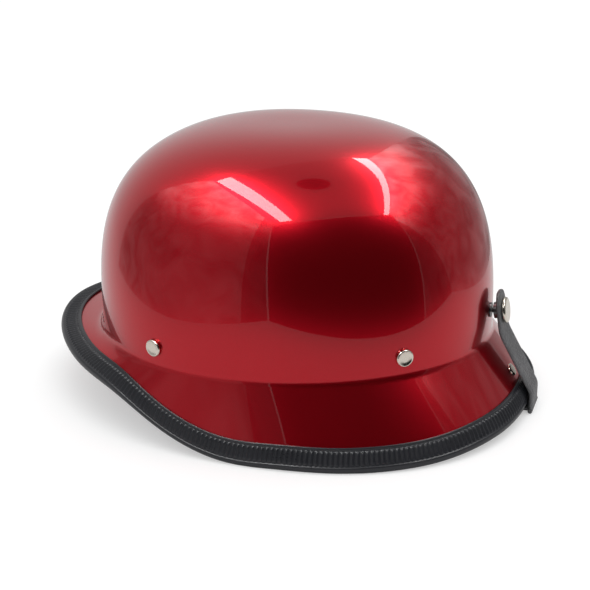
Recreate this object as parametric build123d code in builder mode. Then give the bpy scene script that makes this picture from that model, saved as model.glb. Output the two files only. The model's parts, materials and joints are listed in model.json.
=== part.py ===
from build123d import *
from math import asin, atan2, cos, degrees, pi, radians, sin, sqrt
import os

os.makedirs("parts", exist_ok=True)

# Half shell motorcycle helmet, standing on the edge trim with the straps stowed in the bowl.
# Millimetres. Front is -Y, the wearer's left is +X, the table is Z = 0.

# Bowl
dome_length = 250.0
dome_width = 216.0
crown_height = 172.2
belt_height = 52.0
crease_height = 44.6
dome_lead = 10.0
shell_wall = 4.0
front_fullness_share = 2.19
rear_fullness_share = 2.03
crown_fullness_share = 2.99

# Flared skirt and visor, measured to the outside of the trim
visor_reach = 37.3
side_reach = 18.0
nape_reach = 27.0
brim_lag = 2.6
visor_fullness_share = 1.91
nape_fullness_share = 2.32
visor_tip_height = 35.8
nape_lift = 4.4
rest_lead = 4.0

# Edge trim, a U section over the brim
trim_wall = 1.7
trim_depth = 10.7
trim_inner_depth = 6.9
trim_fit = 0.15
trim_lip = 1.0
rest_cut = 0.4

# Foam liner and comfort pads
liner_wall = 19.0
liner_gap = 0.4
liner_edge_height = 45.0
pad_wall = 8.0
pad_gap = 0.3
pad_edge_height = 47.0
pad_top_height = 88.0
pad_width = 96.0
side_pad_length = 120.0
crown_pad_base = 102.0
crown_pad_length = 120.0
crown_pad_width = 96.0

# Strap rivets, their washers and the webbing ends they clamp
strap_rivet_height = 56.4
front_rivet_share = 0.2128
rear_rivet_share = 0.36
rivet_head_diameter = 10.6
rivet_head_rise = 2.2
rivet_shank_diameter = 4.8
rivet_tail_diameter = 7.0
rivet_tail_rise = 1.6
rivet_fit = 0.1
rivet_round_share = 0.85
washer_diameter = 13.0
washer_thickness = 1.0
webbing_thickness = 2.0
webbing_gap = 0.3
tab_width = 20.0
tab_above_rivet = 9.0
tab_standoff = 0.9

# Chin straps
strap_hinge_height = 38.0
yoke_end_clearance = 0.4
yoke_end_inset = 10.0
yoke_join_share = 0.62
yoke_crotch_share = 0.5
yoke_leg_inner = 19.0
yoke_leg_outer = 5.0
strap_fold_gap = 0.4
strap_end_gap = 0.3
tail_width = 20.0
tail_side_step = 24.0
left_tail_length = 30.0
right_tail_length = 52.0
right_tail_overlap = 42.0
strap_snap_diameter = 12.0
strap_snap_rise = 2.0
strap_snap_inset = 14.0
strap_snap_shank_diameter = 3.6
strap_snap_edge = 0.8

# D-rings
ring_wire = 3.2
ring_half_width = 12.5
ring_side_length = 2.0
ring_corner_radius = 3.0
ring_step = 4.0
ring_fit = 0.2

# Goggle strap and its press stud
goggle_strap_width = 22.0
goggle_strap_thickness = 2.8
goggle_strap_gap = 0.3
goggle_strap_top = 75.4
goggle_strap_elbow = 50.5
goggle_strap_elbow_radius = 20.0
goggle_strap_turn = 13.4
goggle_strap_turn_radius = 8.0
snap_height = 62.5
snap_standoff = 6.9
snap_tilt = 8.0
snap_cap_diameter = 16.0
snap_cap_rise = 2.6
snap_cap_edge = 1.6
snap_shank_diameter = 3.6
snap_socket_diameter = 10.0
snap_socket_rise = 2.8
snap_socket_roof = 0.6
snap_cavity_diameter = 7.0
stud_base_diameter = 9.0
stud_base_rise = 0.8
stud_neck_diameter = 2.6
stud_ball_diameter = 3.6
stud_ball_rise = 2.6
stud_tail_diameter = 7.0
stud_tail_rise = 0.8
anchor_width = 18.0
anchor_gap = 0.6
anchor_standoff = 0.5
anchor_step = 4.0
anchor_tail = 7.0
goggle_rivet_lap = 18.0
goggle_rivet_head_diameter = 8.0
goggle_rivet_head_rise = 1.2
goggle_rivet_shank_diameter = 4.0

overrun = 5.0
section_count = 31
ring_points = 48

# The bowl's middle is set so that the whole helmet's box is centred on the origin.
dome_middle = (visor_reach - nape_reach - goggle_strap_gap - goggle_strap_thickness) / 2
dome_half_length = dome_length / 2
dome_half_width = dome_width / 2
crown_rise = crown_height - belt_height

# Strap rivets keep their place along the bowl
front_rivet_lead = dome_length * front_rivet_share
rear_rivet_lag = dome_length * rear_rivet_share

# Half the trim's full thickness: the brim's line is the middle of the wall where the trim rounds it.
rim_radius = trim_wall + shell_wall / 2
brim_front = dome_half_length + visor_reach - rim_radius
brim_rear = dome_half_length + nape_reach - rim_radius
brim_half_width = dome_half_width + side_reach - rim_radius


def power(value, exponent):
    """Signed power, so that a superellipse keeps its quadrants."""
    return (abs(value) ** exponent) * (1 if value >= 0 else -1)


def egg(turn, front, rear, half_width, middle, front_share, rear_share):
    """Point of an egg-shaped ring: a superellipse with its own front and rear half. Turn 0 is the front."""
    share = front_share if cos(turn) > 0 else rear_share
    reach = front if cos(turn) > 0 else rear
    x = half_width * power(sin(turn), 2 / share)
    y = middle - reach * power(cos(turn), 2 / share)
    return x, y


def dome_shrink(height, inset):
    """How much smaller a level section is than the widest one, on a superellipse from belt to crown."""
    above = max(height - belt_height, 0) / (crown_rise - inset)
    return (1 - above**crown_fullness_share) ** (1 / crown_fullness_share)


def dome_ring(turn, height, inset):
    """Point on the bowl, moved in by inset from its outer face."""
    shrink = dome_shrink(height, inset)
    front = (dome_half_length - dome_lead - inset) * shrink
    rear = (dome_half_length + dome_lead - inset) * shrink
    half_width = (dome_half_width - inset) * shrink
    middle = dome_middle - dome_lead * shrink
    return egg(turn, front, rear, half_width, middle, front_fullness_share, rear_fullness_share)


def dome_side(y, inset=0.0):
    """Place on the bowl's left side, where it is upright, at y from its middle, and the outward normal."""
    front = dome_half_length - dome_lead
    rear = dome_half_length + dome_lead
    along = y + dome_lead
    reach, share = (front, front_fullness_share) if along < 0 else (rear, rear_fullness_share)
    x = dome_half_width * (1 - abs(along / reach) ** share) ** (1 / share)
    normal = Vector(
        share / dome_half_width * (x / dome_half_width) ** (share - 1),
        share / reach * power(along / reach, share - 1),
        0,
    ).normalized()
    return Vector(x, y + dome_middle, 0) - normal * inset, normal


# Height of the trim's underside: pairs of the place, as a share of the run from where it leaves the table to
# the visor's tip, or from the middle to the nape, and the lift, as a share of the tip's or the nape's height.
front_lift_shares = [(0.0, 0.0), (0.094, 0.09), (0.275, 0.33), (0.467, 0.67), (0.72, 0.83), (1.0, 1.0)]
rear_lift_shares = [(0.0, 0.0), (0.6, 0.0), (0.8, 0.35), (1.0, 1.0)]


def smooth_table(value, table):
    """Cubic curve through a table of pairs, level with the chord from one neighbour to the next."""
    slopes = []
    for i in range(len(table)):
        low = table[max(i - 1, 0)]
        high = table[min(i + 1, len(table) - 1)]
        slopes.append((high[1] - low[1]) / (high[0] - low[0]))
    slopes[0] = 0
    for i in range(len(table) - 1):
        (x0, y0), (x1, y1) = table[i], table[i + 1]
        if value <= x1 or i == len(table) - 2:
            span = x1 - x0
            s = min(max((value - x0) / span, 0), 1)
            if y1 == y0:
                return y0
            rise = (3 - 2 * s) * s * s * (y1 - y0)
            return y0 + rise + span * s * (1 - s) * ((1 - s) * slopes[i] - s * slopes[i + 1])


def brim_lift(y):
    """Height of the trim's underside above the table at y from the bowl's middle."""
    if y < -rest_lead:
        return visor_tip_height * smooth_table((-rest_lead - y) / (brim_front - rest_lead), front_lift_shares)
    return nape_lift * smooth_table(max(y, 0) / brim_rear, rear_lift_shares)


def brim_ring(turn):
    """Point on the middle of the wall at the brim, where the trim rounds it."""
    front = brim_front + brim_lag
    rear = brim_rear - brim_lag
    middle = dome_middle + brim_lag
    x, y = egg(turn, front, rear, brim_half_width, middle, visor_fullness_share, nape_fullness_share)
    return x, y, rim_radius - rest_cut + brim_lift(y - dome_middle)


def station(turn):
    """Upright plane from the crease to the brim, with the skirt's slope in it.

    Local x is the distance out from the crease and local y is the height. The skirt's outer line runs
    from (0, crease) and passes the brim's point half a wall outside it.
    """
    crease_x, crease_y = dome_ring(turn, crease_height, 0)
    brim_x, brim_y, brim_z = brim_ring(turn)
    across = Vector(brim_x - crease_x, brim_y - crease_y, 0)
    plane = Plane(origin=(crease_x, crease_y, 0), x_dir=across, z_dir=across.cross(Vector(0, 0, 1)))
    crease = Vector(0, crease_height)
    middle = Vector(across.length, brim_z)
    run = middle - crease
    along = run.normalized().rotate(Axis.Z, degrees(asin(shell_wall / 2 / run.length)))
    outward = Vector(-along.Y, along.X)
    return plane, middle, along, outward


def half_turns():
    """Stations from the front to the rear along the left side."""
    return [pi * i / (section_count - 1) for i in range(section_count)]


def side_loft(profile):
    """Both halves of a ring: one closed profile at every station, lofted from front to rear."""
    with BuildPart() as ring:
        for turn in half_turns():
            plane, middle, along, outward = station(turn)
            with BuildSketch(plane):
                with BuildLine():
                    profile(middle, along, outward)
                make_face()
        loft()
        mirror(about=Plane.YZ)
    return ring.part


def skirt_profile(middle, along, outward):
    """Section of the skirt's wall. Its top end stands inside the bowl's wall."""
    crease = Vector(0, crease_height)
    edge = middle + outward * (shell_wall / 2)
    inner = middle - outward * (shell_wall / 2)
    seat = shell_wall / 2
    top = crease - along * (seat / along.X)
    foot = inner - along * ((inner.X + shell_wall - trim_fit) / along.X)
    head = Vector(foot.X, max(foot.Y, crease_height) + seat)
    Polyline(top, edge, inner, foot, head, close=True)


def trim_profile(middle, along, outward):
    """Section of the edge trim: a U with a lip on the outside, a round below and a shorter inner leg."""
    pocket = shell_wall / 2 + trim_fit
    lip = middle - along * trim_depth
    leg = middle - along * trim_inner_depth
    bottom = middle + along * rim_radius
    shoulder = (along + outward) * (rim_radius / sqrt(2))
    heel = (along - outward) * (rim_radius / sqrt(2))
    outside = middle + outward * rim_radius
    inside = middle - outward * rim_radius
    Polyline(
        outside,
        lip + outward * rim_radius + along * trim_lip,
        lip + outward * pocket,
        middle + along * trim_fit + outward * pocket,
        middle + along * trim_fit - outward * pocket,
        leg - outward * pocket,
        leg - outward * rim_radius + along * trim_lip,
        inside,
    )
    ThreePointArc(inside, middle + heel, bottom)
    ThreePointArc(bottom, middle + shoulder, outside)


def dome_levels(bottom, inset):
    """Heights of the bowl's level sections, closer together towards the crown."""
    rise = crown_rise - inset
    swing = [0, 2, 6, 12, 21, 32, 43, 54, 64, 72, 79, 84, 87.5]
    upper = [belt_height + rise * sin(radians(angle)) ** (2 / crown_fullness_share) for angle in swing]
    return [bottom] + [height for height in upper if height > bottom + shell_wall / 2]


def dome_solid(bottom, inset, mode=Mode.ADD):
    """Solid bowl of the given inset, closed by a small flat at the crown."""
    sections = []
    turns = [2 * pi * i / ring_points for i in range(ring_points)]
    for height in dome_levels(bottom, inset):
        with BuildSketch(Plane.XY.offset(height)) as level:
            with BuildLine():
                Spline(*[dome_ring(turn, height, inset) for turn in turns], periodic=True)
            make_face()
        sections.append(level.sketch)
    loft(sections, mode=mode)


def rivet_plane(y, side):
    """Plane on the bowl's outer face at a strap rivet, with local z pointing out."""
    place, normal = dome_side(y)
    return Plane(
        origin=(side * place.X, place.Y, strap_rivet_height),
        x_dir=(-normal.Y, side * normal.X, 0),
        z_dir=(side * normal.X, normal.Y, 0),
    )


def export(name, piece):
    """Label a finished piece and write it."""
    piece.part.label = name
    export_step(piece.part, "parts/" + name + ".step")


base_up = (Align.CENTER, Align.CENTER, Align.MIN)
base_down = (Align.CENTER, Align.CENTER, Align.MAX)

rivet_places = {
    "front_left": rivet_plane(-front_rivet_lead, 1),
    "rear_left": rivet_plane(rear_rivet_lag, 1),
    "front_right": rivet_plane(-front_rivet_lead, -1),
    "rear_right": rivet_plane(rear_rivet_lag, -1),
}

# Depths below the bowl's outer face at a strap rivet
tab_depth = shell_wall + tab_standoff
washer_depth = tab_depth + webbing_thickness + rivet_fit
tail_depth = washer_depth + washer_thickness + rivet_fit
stack_depth = tail_depth + rivet_tail_rise

# Goggle strap: its middle line in the upright plane at the nape, from the top down to its fold
nape_plane, nape_middle, nape_along, nape_outward = station(pi)
strap_line = rim_radius + goggle_strap_gap + goggle_strap_thickness / 2
snap_lean = radians(snap_tilt)
snap_point = Vector(snap_standoff, snap_height)
snap_out = Vector(cos(snap_lean), sin(snap_lean))
snap_up = Vector(-snap_out.Y, snap_out.X)
strap_top = snap_point + snap_up * ((goggle_strap_top - snap_height) / snap_up.Y)
strap_elbow = snap_point + snap_up * ((goggle_strap_elbow - snap_height) / snap_up.Y)
strap_fold = Vector(nape_middle.X + strap_line, goggle_strap_thickness / 2 + goggle_strap_gap)
strap_turn = Vector(strap_fold.X, goggle_strap_turn)
snap_plane = Plane(
    origin=nape_plane.from_local_coords(Vector(snap_point.X, snap_point.Y, 0)),
    x_dir=(-1, 0, 0),
    z_dir=(0, snap_out.X, snap_out.Y),
)
stud_height = snap_height - (snap_standoff - stud_ball_rise) * snap_out.Y / snap_out.X
stud_plane = Plane(origin=(0, nape_plane.origin.Y, stud_height), x_dir=(1, 0, 0), z_dir=(0, 1, 0))

# The strap's fixed end: under the trim, up behind its inner leg and along the skirt to its rivet
anchor_low_line = rim_radius + anchor_gap + goggle_strap_thickness / 2
anchor_floor = nape_middle.Y - anchor_low_line
anchor_start = Vector(strap_fold.X - goggle_strap_thickness - goggle_strap_gap, anchor_floor)
anchor_low = nape_middle - nape_outward * anchor_low_line
anchor_corner = anchor_low + nape_along * ((anchor_floor - anchor_low.Y) / nape_along.Y)
anchor_bend = anchor_low - nape_along * (trim_inner_depth + trim_lip)
anchor_line = shell_wall / 2 + anchor_standoff + goggle_strap_thickness / 2
anchor_seat = nape_middle - nape_outward * anchor_line - nape_along * (trim_inner_depth + anchor_step)
anchor_top = nape_middle - nape_outward * anchor_line - nape_along * (goggle_rivet_lap + anchor_tail)
goggle_rivet_point = nape_middle + nape_outward * (shell_wall / 2) - nape_along * goggle_rivet_lap
goggle_rivet_plane = Plane(
    origin=nape_plane.from_local_coords(Vector(goggle_rivet_point.X, goggle_rivet_point.Y, 0)),
    x_dir=(1, 0, 0),
    z_dir=(0, nape_outward.X, nape_outward.Y),
)
goggle_rivet_depth = shell_wall + anchor_standoff + goggle_strap_thickness + rivet_fit

# Chin straps: each yoke's plane starts at the middle of the line on which its two legs hang
front_exit = dome_side(-front_rivet_lead, tab_depth + webbing_thickness / 2)[0]
rear_exit = dome_side(rear_rivet_lag, tab_depth + webbing_thickness / 2)[0]
hinge_middle = (front_exit + rear_exit) / 2
hinge_run = rear_exit - front_exit
hinge_half = hinge_run.length / 2
hinge_dir = hinge_run.normalized()
yoke_in = Vector(-hinge_dir.Y, hinge_dir.X, 0)
yoke_reach = (hinge_middle.X - yoke_end_inset) / hinge_dir.Y
yoke_drop = strap_hinge_height - yoke_end_clearance - webbing_thickness / 2
yoke_slope = atan2(yoke_drop, yoke_reach)
yoke_length = sqrt(yoke_reach**2 + yoke_drop**2)


def yoke_plane(side):
    """Plane of a stowed yoke: local x runs down to the middle of the bowl and local z points up."""
    inward = Vector(side * yoke_in.X, yoke_in.Y, 0)
    return Plane(
        origin=(side * hinge_middle.X, hinge_middle.Y, strap_hinge_height),
        x_dir=inward * cos(yoke_slope) - Vector(0, 0, sin(yoke_slope)),
        z_dir=inward * sin(yoke_slope) + Vector(0, 0, cos(yoke_slope)),
    )


def raised(plane, out, along, up):
    """Same plane with its origin moved in its own directions."""
    return Plane(origin=plane.from_local_coords(Vector(out, along, up)), x_dir=plane.x_dir, z_dir=plane.z_dir)


def side_view(plane):
    """Upright plane through local x of the given plane: its x stays, its y is the given plane's z."""
    return Plane(origin=plane.origin, x_dir=plane.x_dir, z_dir=-plane.y_dir)


def rivet(plane, sizes, depth, tail_sizes):
    """Domed rivet on a plane, its shank inwards and its tail clinched at the given depth."""
    head_diameter, head_rise, shank_diameter = sizes
    tail_diameter, tail_rise = tail_sizes
    with BuildPart() as piece:
        with Locations(plane):
            Cylinder(head_diameter / 2, head_rise, align=base_up)
        fillet(piece.edges().group_by(Axis(plane.origin, plane.z_dir))[-1], head_rise * rivet_round_share)
        with Locations(plane):
            Cylinder(shank_diameter / 2, depth, align=base_down)
        with Locations(plane.offset(-depth)):
            Cylinder(tail_diameter / 2, tail_rise, align=base_down)
    return piece


# Shell: bowl and skirt, with the holes for the rivets and the stud
with BuildPart() as outer_shell:
    dome_solid(crease_height - shell_wall / 2, 0)
    add(side_loft(skirt_profile))
    dome_solid(crease_height - 2 * shell_wall, shell_wall, Mode.SUBTRACT)
    with Locations(*rivet_places.values()):
        Cylinder(rivet_shank_diameter / 2 + rivet_fit, 2 * (overrun + shell_wall), mode=Mode.SUBTRACT)
    with Locations(stud_plane):
        Cylinder(snap_shank_diameter / 2 + rivet_fit, 2 * (overrun + shell_wall), mode=Mode.SUBTRACT)
    with Locations(goggle_rivet_plane):
        Cylinder(goggle_rivet_shank_diameter / 2 + rivet_fit, 2 * (overrun + shell_wall), mode=Mode.SUBTRACT)
export("outer_shell", outer_shell)

# Trim: cut flat where the helmet stands on it
with BuildPart() as edge_trim:
    add(side_loft(trim_profile))
    split(bisect_by=Plane.XY, keep=Keep.TOP)
export("edge_trim", edge_trim)

# Liner: a foam bowl with a pocket over each rivet and its webbing
liner_outer = shell_wall + liner_gap
liner_inner = liner_outer + liner_wall
pocket_depth = stack_depth + tab_standoff
pocket_hang = (Align.CENTER, Align.MAX, Align.MAX)
pocket_width = tab_width + 2 * tab_standoff
with BuildPart() as impact_liner:
    dome_solid(liner_edge_height, liner_outer)
    dome_solid(liner_edge_height - overrun, liner_inner, Mode.SUBTRACT)
    for place in rivet_places.values():
        with Locations(raised(place, 0, tab_above_rivet + tab_standoff, 0)):
            Box(pocket_width, crease_height, pocket_depth, align=pocket_hang, mode=Mode.SUBTRACT)
    with Locations(stud_plane):
        Cylinder(stud_tail_diameter / 2 + tab_standoff, shell_wall + stud_tail_rise + tab_standoff,
                 align=base_down, mode=Mode.SUBTRACT)
export("impact_liner", impact_liner)

# Pads: cloth-covered foam, each a sector of one ring inside the liner, and a round one at the crown
pad_outer = liner_inner + pad_gap
pad_inner = pad_outer + pad_wall
pad_reach = dome_length
side_pad_middle = dome_middle - dome_lead

with BuildPart() as pad_ring:
    dome_solid(pad_edge_height, pad_outer)
    dome_solid(pad_edge_height - overrun, pad_inner, Mode.SUBTRACT)

ring_pads = {
    "front_pad": ((0, dome_middle - pad_reach / 2), (pad_width, pad_reach)),
    "rear_pad": ((0, dome_middle + pad_reach / 2), (pad_width, pad_reach)),
    "left_pad": ((pad_reach / 2, side_pad_middle), (pad_reach, side_pad_length)),
    "right_pad": ((-pad_reach / 2, side_pad_middle), (pad_reach, side_pad_length)),
}
for name, (place, size) in ring_pads.items():
    with BuildPart() as sector:
        add(pad_ring.part)
        with Locations((place[0], place[1], pad_edge_height)):
            Box(size[0], size[1], pad_top_height - pad_edge_height, align=base_up, mode=Mode.INTERSECT)
    export(name, sector)

with BuildPart() as crown_pad:
    add(pad_ring.part)
    with BuildSketch(Plane.XY.offset(crown_pad_base)):
        with Locations((0, dome_middle)):
            Ellipse(crown_pad_width / 2, crown_pad_length / 2)
    extrude(amount=crown_height, mode=Mode.INTERSECT)
export("crown_pad", crown_pad)

# Strap rivets, their washers and the webbing ends between shell and washer
rivet_sizes = (rivet_head_diameter, rivet_head_rise, rivet_shank_diameter)
rivet_tail_sizes = (rivet_tail_diameter, rivet_tail_rise)
for name, place in rivet_places.items():
    export(name + "_rivet", rivet(place, rivet_sizes, tail_depth, rivet_tail_sizes))

with BuildPart() as rivet_washers:
    for place in rivet_places.values():
        with Locations(place.offset(-washer_depth)):
            Cylinder(washer_diameter / 2, washer_thickness, align=base_down)
        with Locations(place.offset(-washer_depth)):
            Cylinder(rivet_shank_diameter / 2 + rivet_fit, 2 * washer_thickness, mode=Mode.SUBTRACT)
export("rivet_washers", rivet_washers)

tab_stand = (Align.CENTER, Align.MIN, Align.MAX)
tab_foot = strap_hinge_height + webbing_thickness / 2 + webbing_gap - strap_rivet_height
for name, place in rivet_places.items():
    with BuildPart() as strap_tab:
        with Locations(raised(place, 0, tab_foot, -tab_depth)):
            Box(tab_width, tab_above_rivet - tab_foot, webbing_thickness, align=tab_stand)
        with Locations(place):
            Cylinder(rivet_shank_diameter / 2 + rivet_fit, 2 * (overrun + tab_depth), mode=Mode.SUBTRACT)
    export(name + "_strap_tab", strap_tab)


# Chin yokes: a Y of webbing on each side, its legs round where they hang
def yoke(side):
    """Webbing Y, stowed, with its fold at the far end."""
    plane = yoke_plane(side)
    inner = hinge_half - yoke_leg_inner
    outer = hinge_half + yoke_leg_outer
    join = yoke_length * yoke_join_share
    crotch = yoke_length * yoke_crotch_share
    end = yoke_length - strap_end_gap
    near = tail_side_step - tail_width / 2
    far = tail_side_step + tail_width / 2
    with BuildPart() as piece:
        with BuildSketch(plane):
            with BuildLine():
                Polyline(
                    (0, outer),
                    (join, far),
                    (end, far),
                    (end, near),
                    (join, near),
                    (0, -outer),
                    (0, -inner),
                    (crotch, tail_side_step),
                    (0, inner),
                    close=True,
                )
            make_face()
        extrude(amount=webbing_thickness / 2, both=True)
        for way in (1, -1):
            leg = plane.from_local_coords(Vector(0, way * (inner + outer) / 2, 0))
            with Locations(Plane(origin=leg, z_dir=plane.y_dir)):
                Cylinder(webbing_thickness / 2, outer - inner)
    return piece


for name, side in (("left", 1), ("right", -1)):
    export(name + "_chin_yoke", yoke(side))

# Left tail: folded back over its yoke and sewn in a loop round the bars of both rings
tail_floor = webbing_thickness / 2 + strap_fold_gap
tail_end = yoke_length - strap_end_gap
loop_bore = ring_wire / 2 + ring_fit
loop_radius = loop_bore + webbing_thickness
lower_bar = Vector(yoke_length - left_tail_length, tail_floor + loop_radius)
upper_bar = lower_bar + Vector(ring_step, ring_step)
loop_middle = (lower_bar + upper_bar) / 2
loop_span = (upper_bar - lower_bar).length
left_side = side_view(raised(yoke_plane(1), 0, tail_side_step, 0))
with BuildPart() as left_chin_tail:
    with BuildSketch(left_side):
        with Locations((lower_bar.X, tail_floor)):
            Rectangle(tail_end - lower_bar.X, webbing_thickness, align=(Align.MIN, Align.MIN))
        with Locations((loop_middle.X, loop_middle.Y)):
            SlotCenterToCenter(loop_span, 2 * loop_radius, rotation=45)
            SlotCenterToCenter(loop_span, 2 * loop_bore, rotation=45, mode=Mode.SUBTRACT)
    extrude(amount=tail_width / 2, both=True)
export("left_chin_tail", left_chin_tail)


# D-rings: round wire with a straight bar in the loop
def d_ring(plane):
    """Ring in a plane, its bar along local y and its bow towards minus x."""
    corner = ring_corner_radius
    half = ring_half_width
    side = corner + ring_side_length
    with BuildPart() as piece:
        with BuildLine(plane) as path:
            Line((0, corner - half), (0, half - corner))
            RadiusArc((0, half - corner), (-corner, half), -corner)
            Line((-corner, half), (-side, half))
            ThreePointArc((-side, half), (-side - half, 0), (-side, -half))
            Line((-side, -half), (-corner, -half))
            RadiusArc((-corner, -half), (0, corner - half), -corner)
        bar_end = plane.from_local_coords(Vector(0, corner - half, 0))
        with BuildSketch(Plane(origin=bar_end, z_dir=plane.y_dir)):
            Circle(ring_wire / 2)
        sweep()
    return piece


for name, bar in (("d_ring_lower", lower_bar), ("d_ring_upper", upper_bar)):
    export(name, d_ring(raised(yoke_plane(1), bar.X, tail_side_step, bar.Y)))

# Right tail: its loose end doubled back and kept by a small press stud
right_fold = Vector(yoke_length - right_tail_length, tail_floor + webbing_thickness + strap_fold_gap / 2)
right_top = tail_floor + 2 * webbing_thickness + strap_fold_gap
right_side = side_view(raised(yoke_plane(-1), 0, tail_side_step, 0))
right_snap_plane = raised(yoke_plane(-1), right_fold.X + strap_snap_inset, tail_side_step, right_top)
with BuildPart() as right_chin_tail:
    with BuildSketch(right_side):
        with Locations((right_fold.X, right_fold.Y)):
            Circle(webbing_thickness + strap_fold_gap / 2)
        with Locations((right_fold.X, tail_floor)):
            Rectangle(tail_end - right_fold.X, webbing_thickness, align=(Align.MIN, Align.MIN))
        with Locations((right_fold.X, right_top)):
            Rectangle(right_tail_overlap, webbing_thickness, align=(Align.MIN, Align.MAX))
        with Locations((right_fold.X, right_fold.Y)):
            Circle(strap_fold_gap / 2, mode=Mode.SUBTRACT)
            Rectangle(right_tail_length, strap_fold_gap, align=(Align.MIN, Align.CENTER), mode=Mode.SUBTRACT)
    extrude(amount=tail_width / 2, both=True)
    with Locations(right_snap_plane):
        Cylinder(strap_snap_shank_diameter / 2 + rivet_fit, 2 * right_top, mode=Mode.SUBTRACT)
export("right_chin_tail", right_chin_tail)

with BuildPart() as strap_snap_cap:
    with Locations(right_snap_plane):
        Cylinder(strap_snap_diameter / 2, strap_snap_rise, align=base_up)
    strap_snap_axis = Axis(right_snap_plane.origin, right_snap_plane.z_dir)
    fillet(strap_snap_cap.edges().group_by(strap_snap_axis)[-1], strap_snap_edge)
    with Locations(right_snap_plane):
        Cylinder(strap_snap_shank_diameter / 2, right_top - tail_floor, align=base_down)
export("strap_snap_cap", strap_snap_cap)

# Goggle strap: one band of leather with a round top, folding on its lower end
strap_round = (strap_top - snap_point).length + goggle_strap_thickness / 2 - goggle_strap_width / 2
with BuildPart() as goggle_strap:
    with BuildSketch(nape_plane):
        with BuildLine():
            FilletPolyline(
                strap_top,
                strap_elbow,
                strap_turn,
                strap_fold,
                radius=[goggle_strap_elbow_radius, goggle_strap_turn_radius],
            )
            offset(amount=goggle_strap_thickness / 2, side=Side.BOTH)
        make_face()
    extrude(amount=goggle_strap_width / 2, both=True)
    with BuildSketch(snap_plane):
        with Locations((0, strap_round)):
            Circle(goggle_strap_width / 2)
            Rectangle(goggle_strap_width, crown_height, align=(Align.CENTER, Align.MAX))
    extrude(amount=dome_half_length, both=True, mode=Mode.INTERSECT)
    with Locations(snap_plane):
        Cylinder(snap_shank_diameter / 2 + rivet_fit, 2 * goggle_strap_thickness, mode=Mode.SUBTRACT)
export("goggle_strap", goggle_strap)

with BuildPart() as goggle_snap_cap:
    with Locations(snap_plane.offset(goggle_strap_thickness / 2)):
        Cylinder(snap_cap_diameter / 2, snap_cap_rise, align=base_up)
    fillet(goggle_snap_cap.edges().group_by(Axis(snap_plane.origin, snap_plane.z_dir))[-1], snap_cap_edge)
    with Locations(snap_plane.offset(goggle_strap_thickness / 2)):
        Cylinder(snap_shank_diameter / 2, goggle_strap_thickness + snap_socket_roof, align=base_down)
export("goggle_snap_cap", goggle_snap_cap)

with BuildPart() as goggle_snap_socket:
    with Locations(snap_plane.offset(-goggle_strap_thickness / 2)):
        Cylinder(snap_socket_diameter / 2, snap_socket_rise, align=base_down)
        Cylinder(snap_shank_diameter / 2 + rivet_fit, 2 * snap_socket_rise, mode=Mode.SUBTRACT)
    with Locations(snap_plane.offset(-goggle_strap_thickness / 2 - snap_socket_roof)):
        Cylinder(snap_cavity_diameter / 2, snap_socket_rise, align=base_down, mode=Mode.SUBTRACT)
export("goggle_snap_socket", goggle_snap_socket)

with BuildPart() as goggle_snap_stud:
    with Locations(stud_plane):
        Cylinder(stud_base_diameter / 2, stud_base_rise, align=base_up)
        Cylinder(stud_neck_diameter / 2, stud_ball_rise, align=base_up)
        Cylinder(snap_shank_diameter / 2, shell_wall + 2 * rivet_fit, align=base_down)
    with Locations(stud_plane.offset(stud_ball_rise)):
        Sphere(stud_ball_diameter / 2)
    with Locations(stud_plane.offset(-shell_wall - 2 * rivet_fit)):
        Cylinder(stud_tail_diameter / 2, stud_tail_rise, align=base_down)
export("goggle_snap_stud", goggle_snap_stud)

with BuildPart() as goggle_strap_anchor:
    with BuildSketch(nape_plane):
        with BuildLine():
            FilletPolyline(
                anchor_start,
                anchor_corner,
                anchor_bend,
                anchor_seat,
                anchor_top,
                radius=[anchor_low_line, goggle_strap_thickness, goggle_strap_thickness],
            )
            offset(amount=goggle_strap_thickness / 2, side=Side.BOTH)
        make_face()
    extrude(amount=anchor_width / 2, both=True)
    with Locations(goggle_rivet_plane):
        hole_length = 2 * (overrun + goggle_rivet_depth)
        Cylinder(goggle_rivet_shank_diameter / 2 + rivet_fit, hole_length, mode=Mode.SUBTRACT)
export("goggle_strap_anchor", goggle_strap_anchor)

goggle_rivet_sizes = (goggle_rivet_head_diameter, goggle_rivet_head_rise, goggle_rivet_shank_diameter)
goggle_rivet = rivet(goggle_rivet_plane, goggle_rivet_sizes, goggle_rivet_depth, rivet_tail_sizes)
export("goggle_strap_rivet", goggle_rivet)
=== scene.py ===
"""Half shell motorcycle helmet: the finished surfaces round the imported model."""
import json

import bpy
import numpy as np
from bpy.props import FloatProperty, FloatVectorProperty, IntProperty, PointerProperty
from mathutils import Matrix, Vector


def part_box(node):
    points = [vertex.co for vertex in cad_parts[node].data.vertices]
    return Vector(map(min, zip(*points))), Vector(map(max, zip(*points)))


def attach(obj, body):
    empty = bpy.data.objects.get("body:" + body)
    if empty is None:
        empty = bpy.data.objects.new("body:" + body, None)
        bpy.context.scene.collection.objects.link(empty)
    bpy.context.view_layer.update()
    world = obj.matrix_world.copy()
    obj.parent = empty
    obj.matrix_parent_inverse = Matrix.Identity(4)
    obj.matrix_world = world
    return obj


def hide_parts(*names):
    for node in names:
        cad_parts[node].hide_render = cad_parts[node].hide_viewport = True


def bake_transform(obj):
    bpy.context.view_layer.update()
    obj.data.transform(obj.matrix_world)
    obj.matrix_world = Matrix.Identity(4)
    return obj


bl_info = {
    "name": "Half shell helmet",
    "version": (1, 0, 0),
    "blender": (4, 5, 0),
    "location": "View3D > Sidebar > Helmet",
    "description": "Finished surfaces of a half shell helmet round its packed model",
    "category": "Add Mesh",
}

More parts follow.
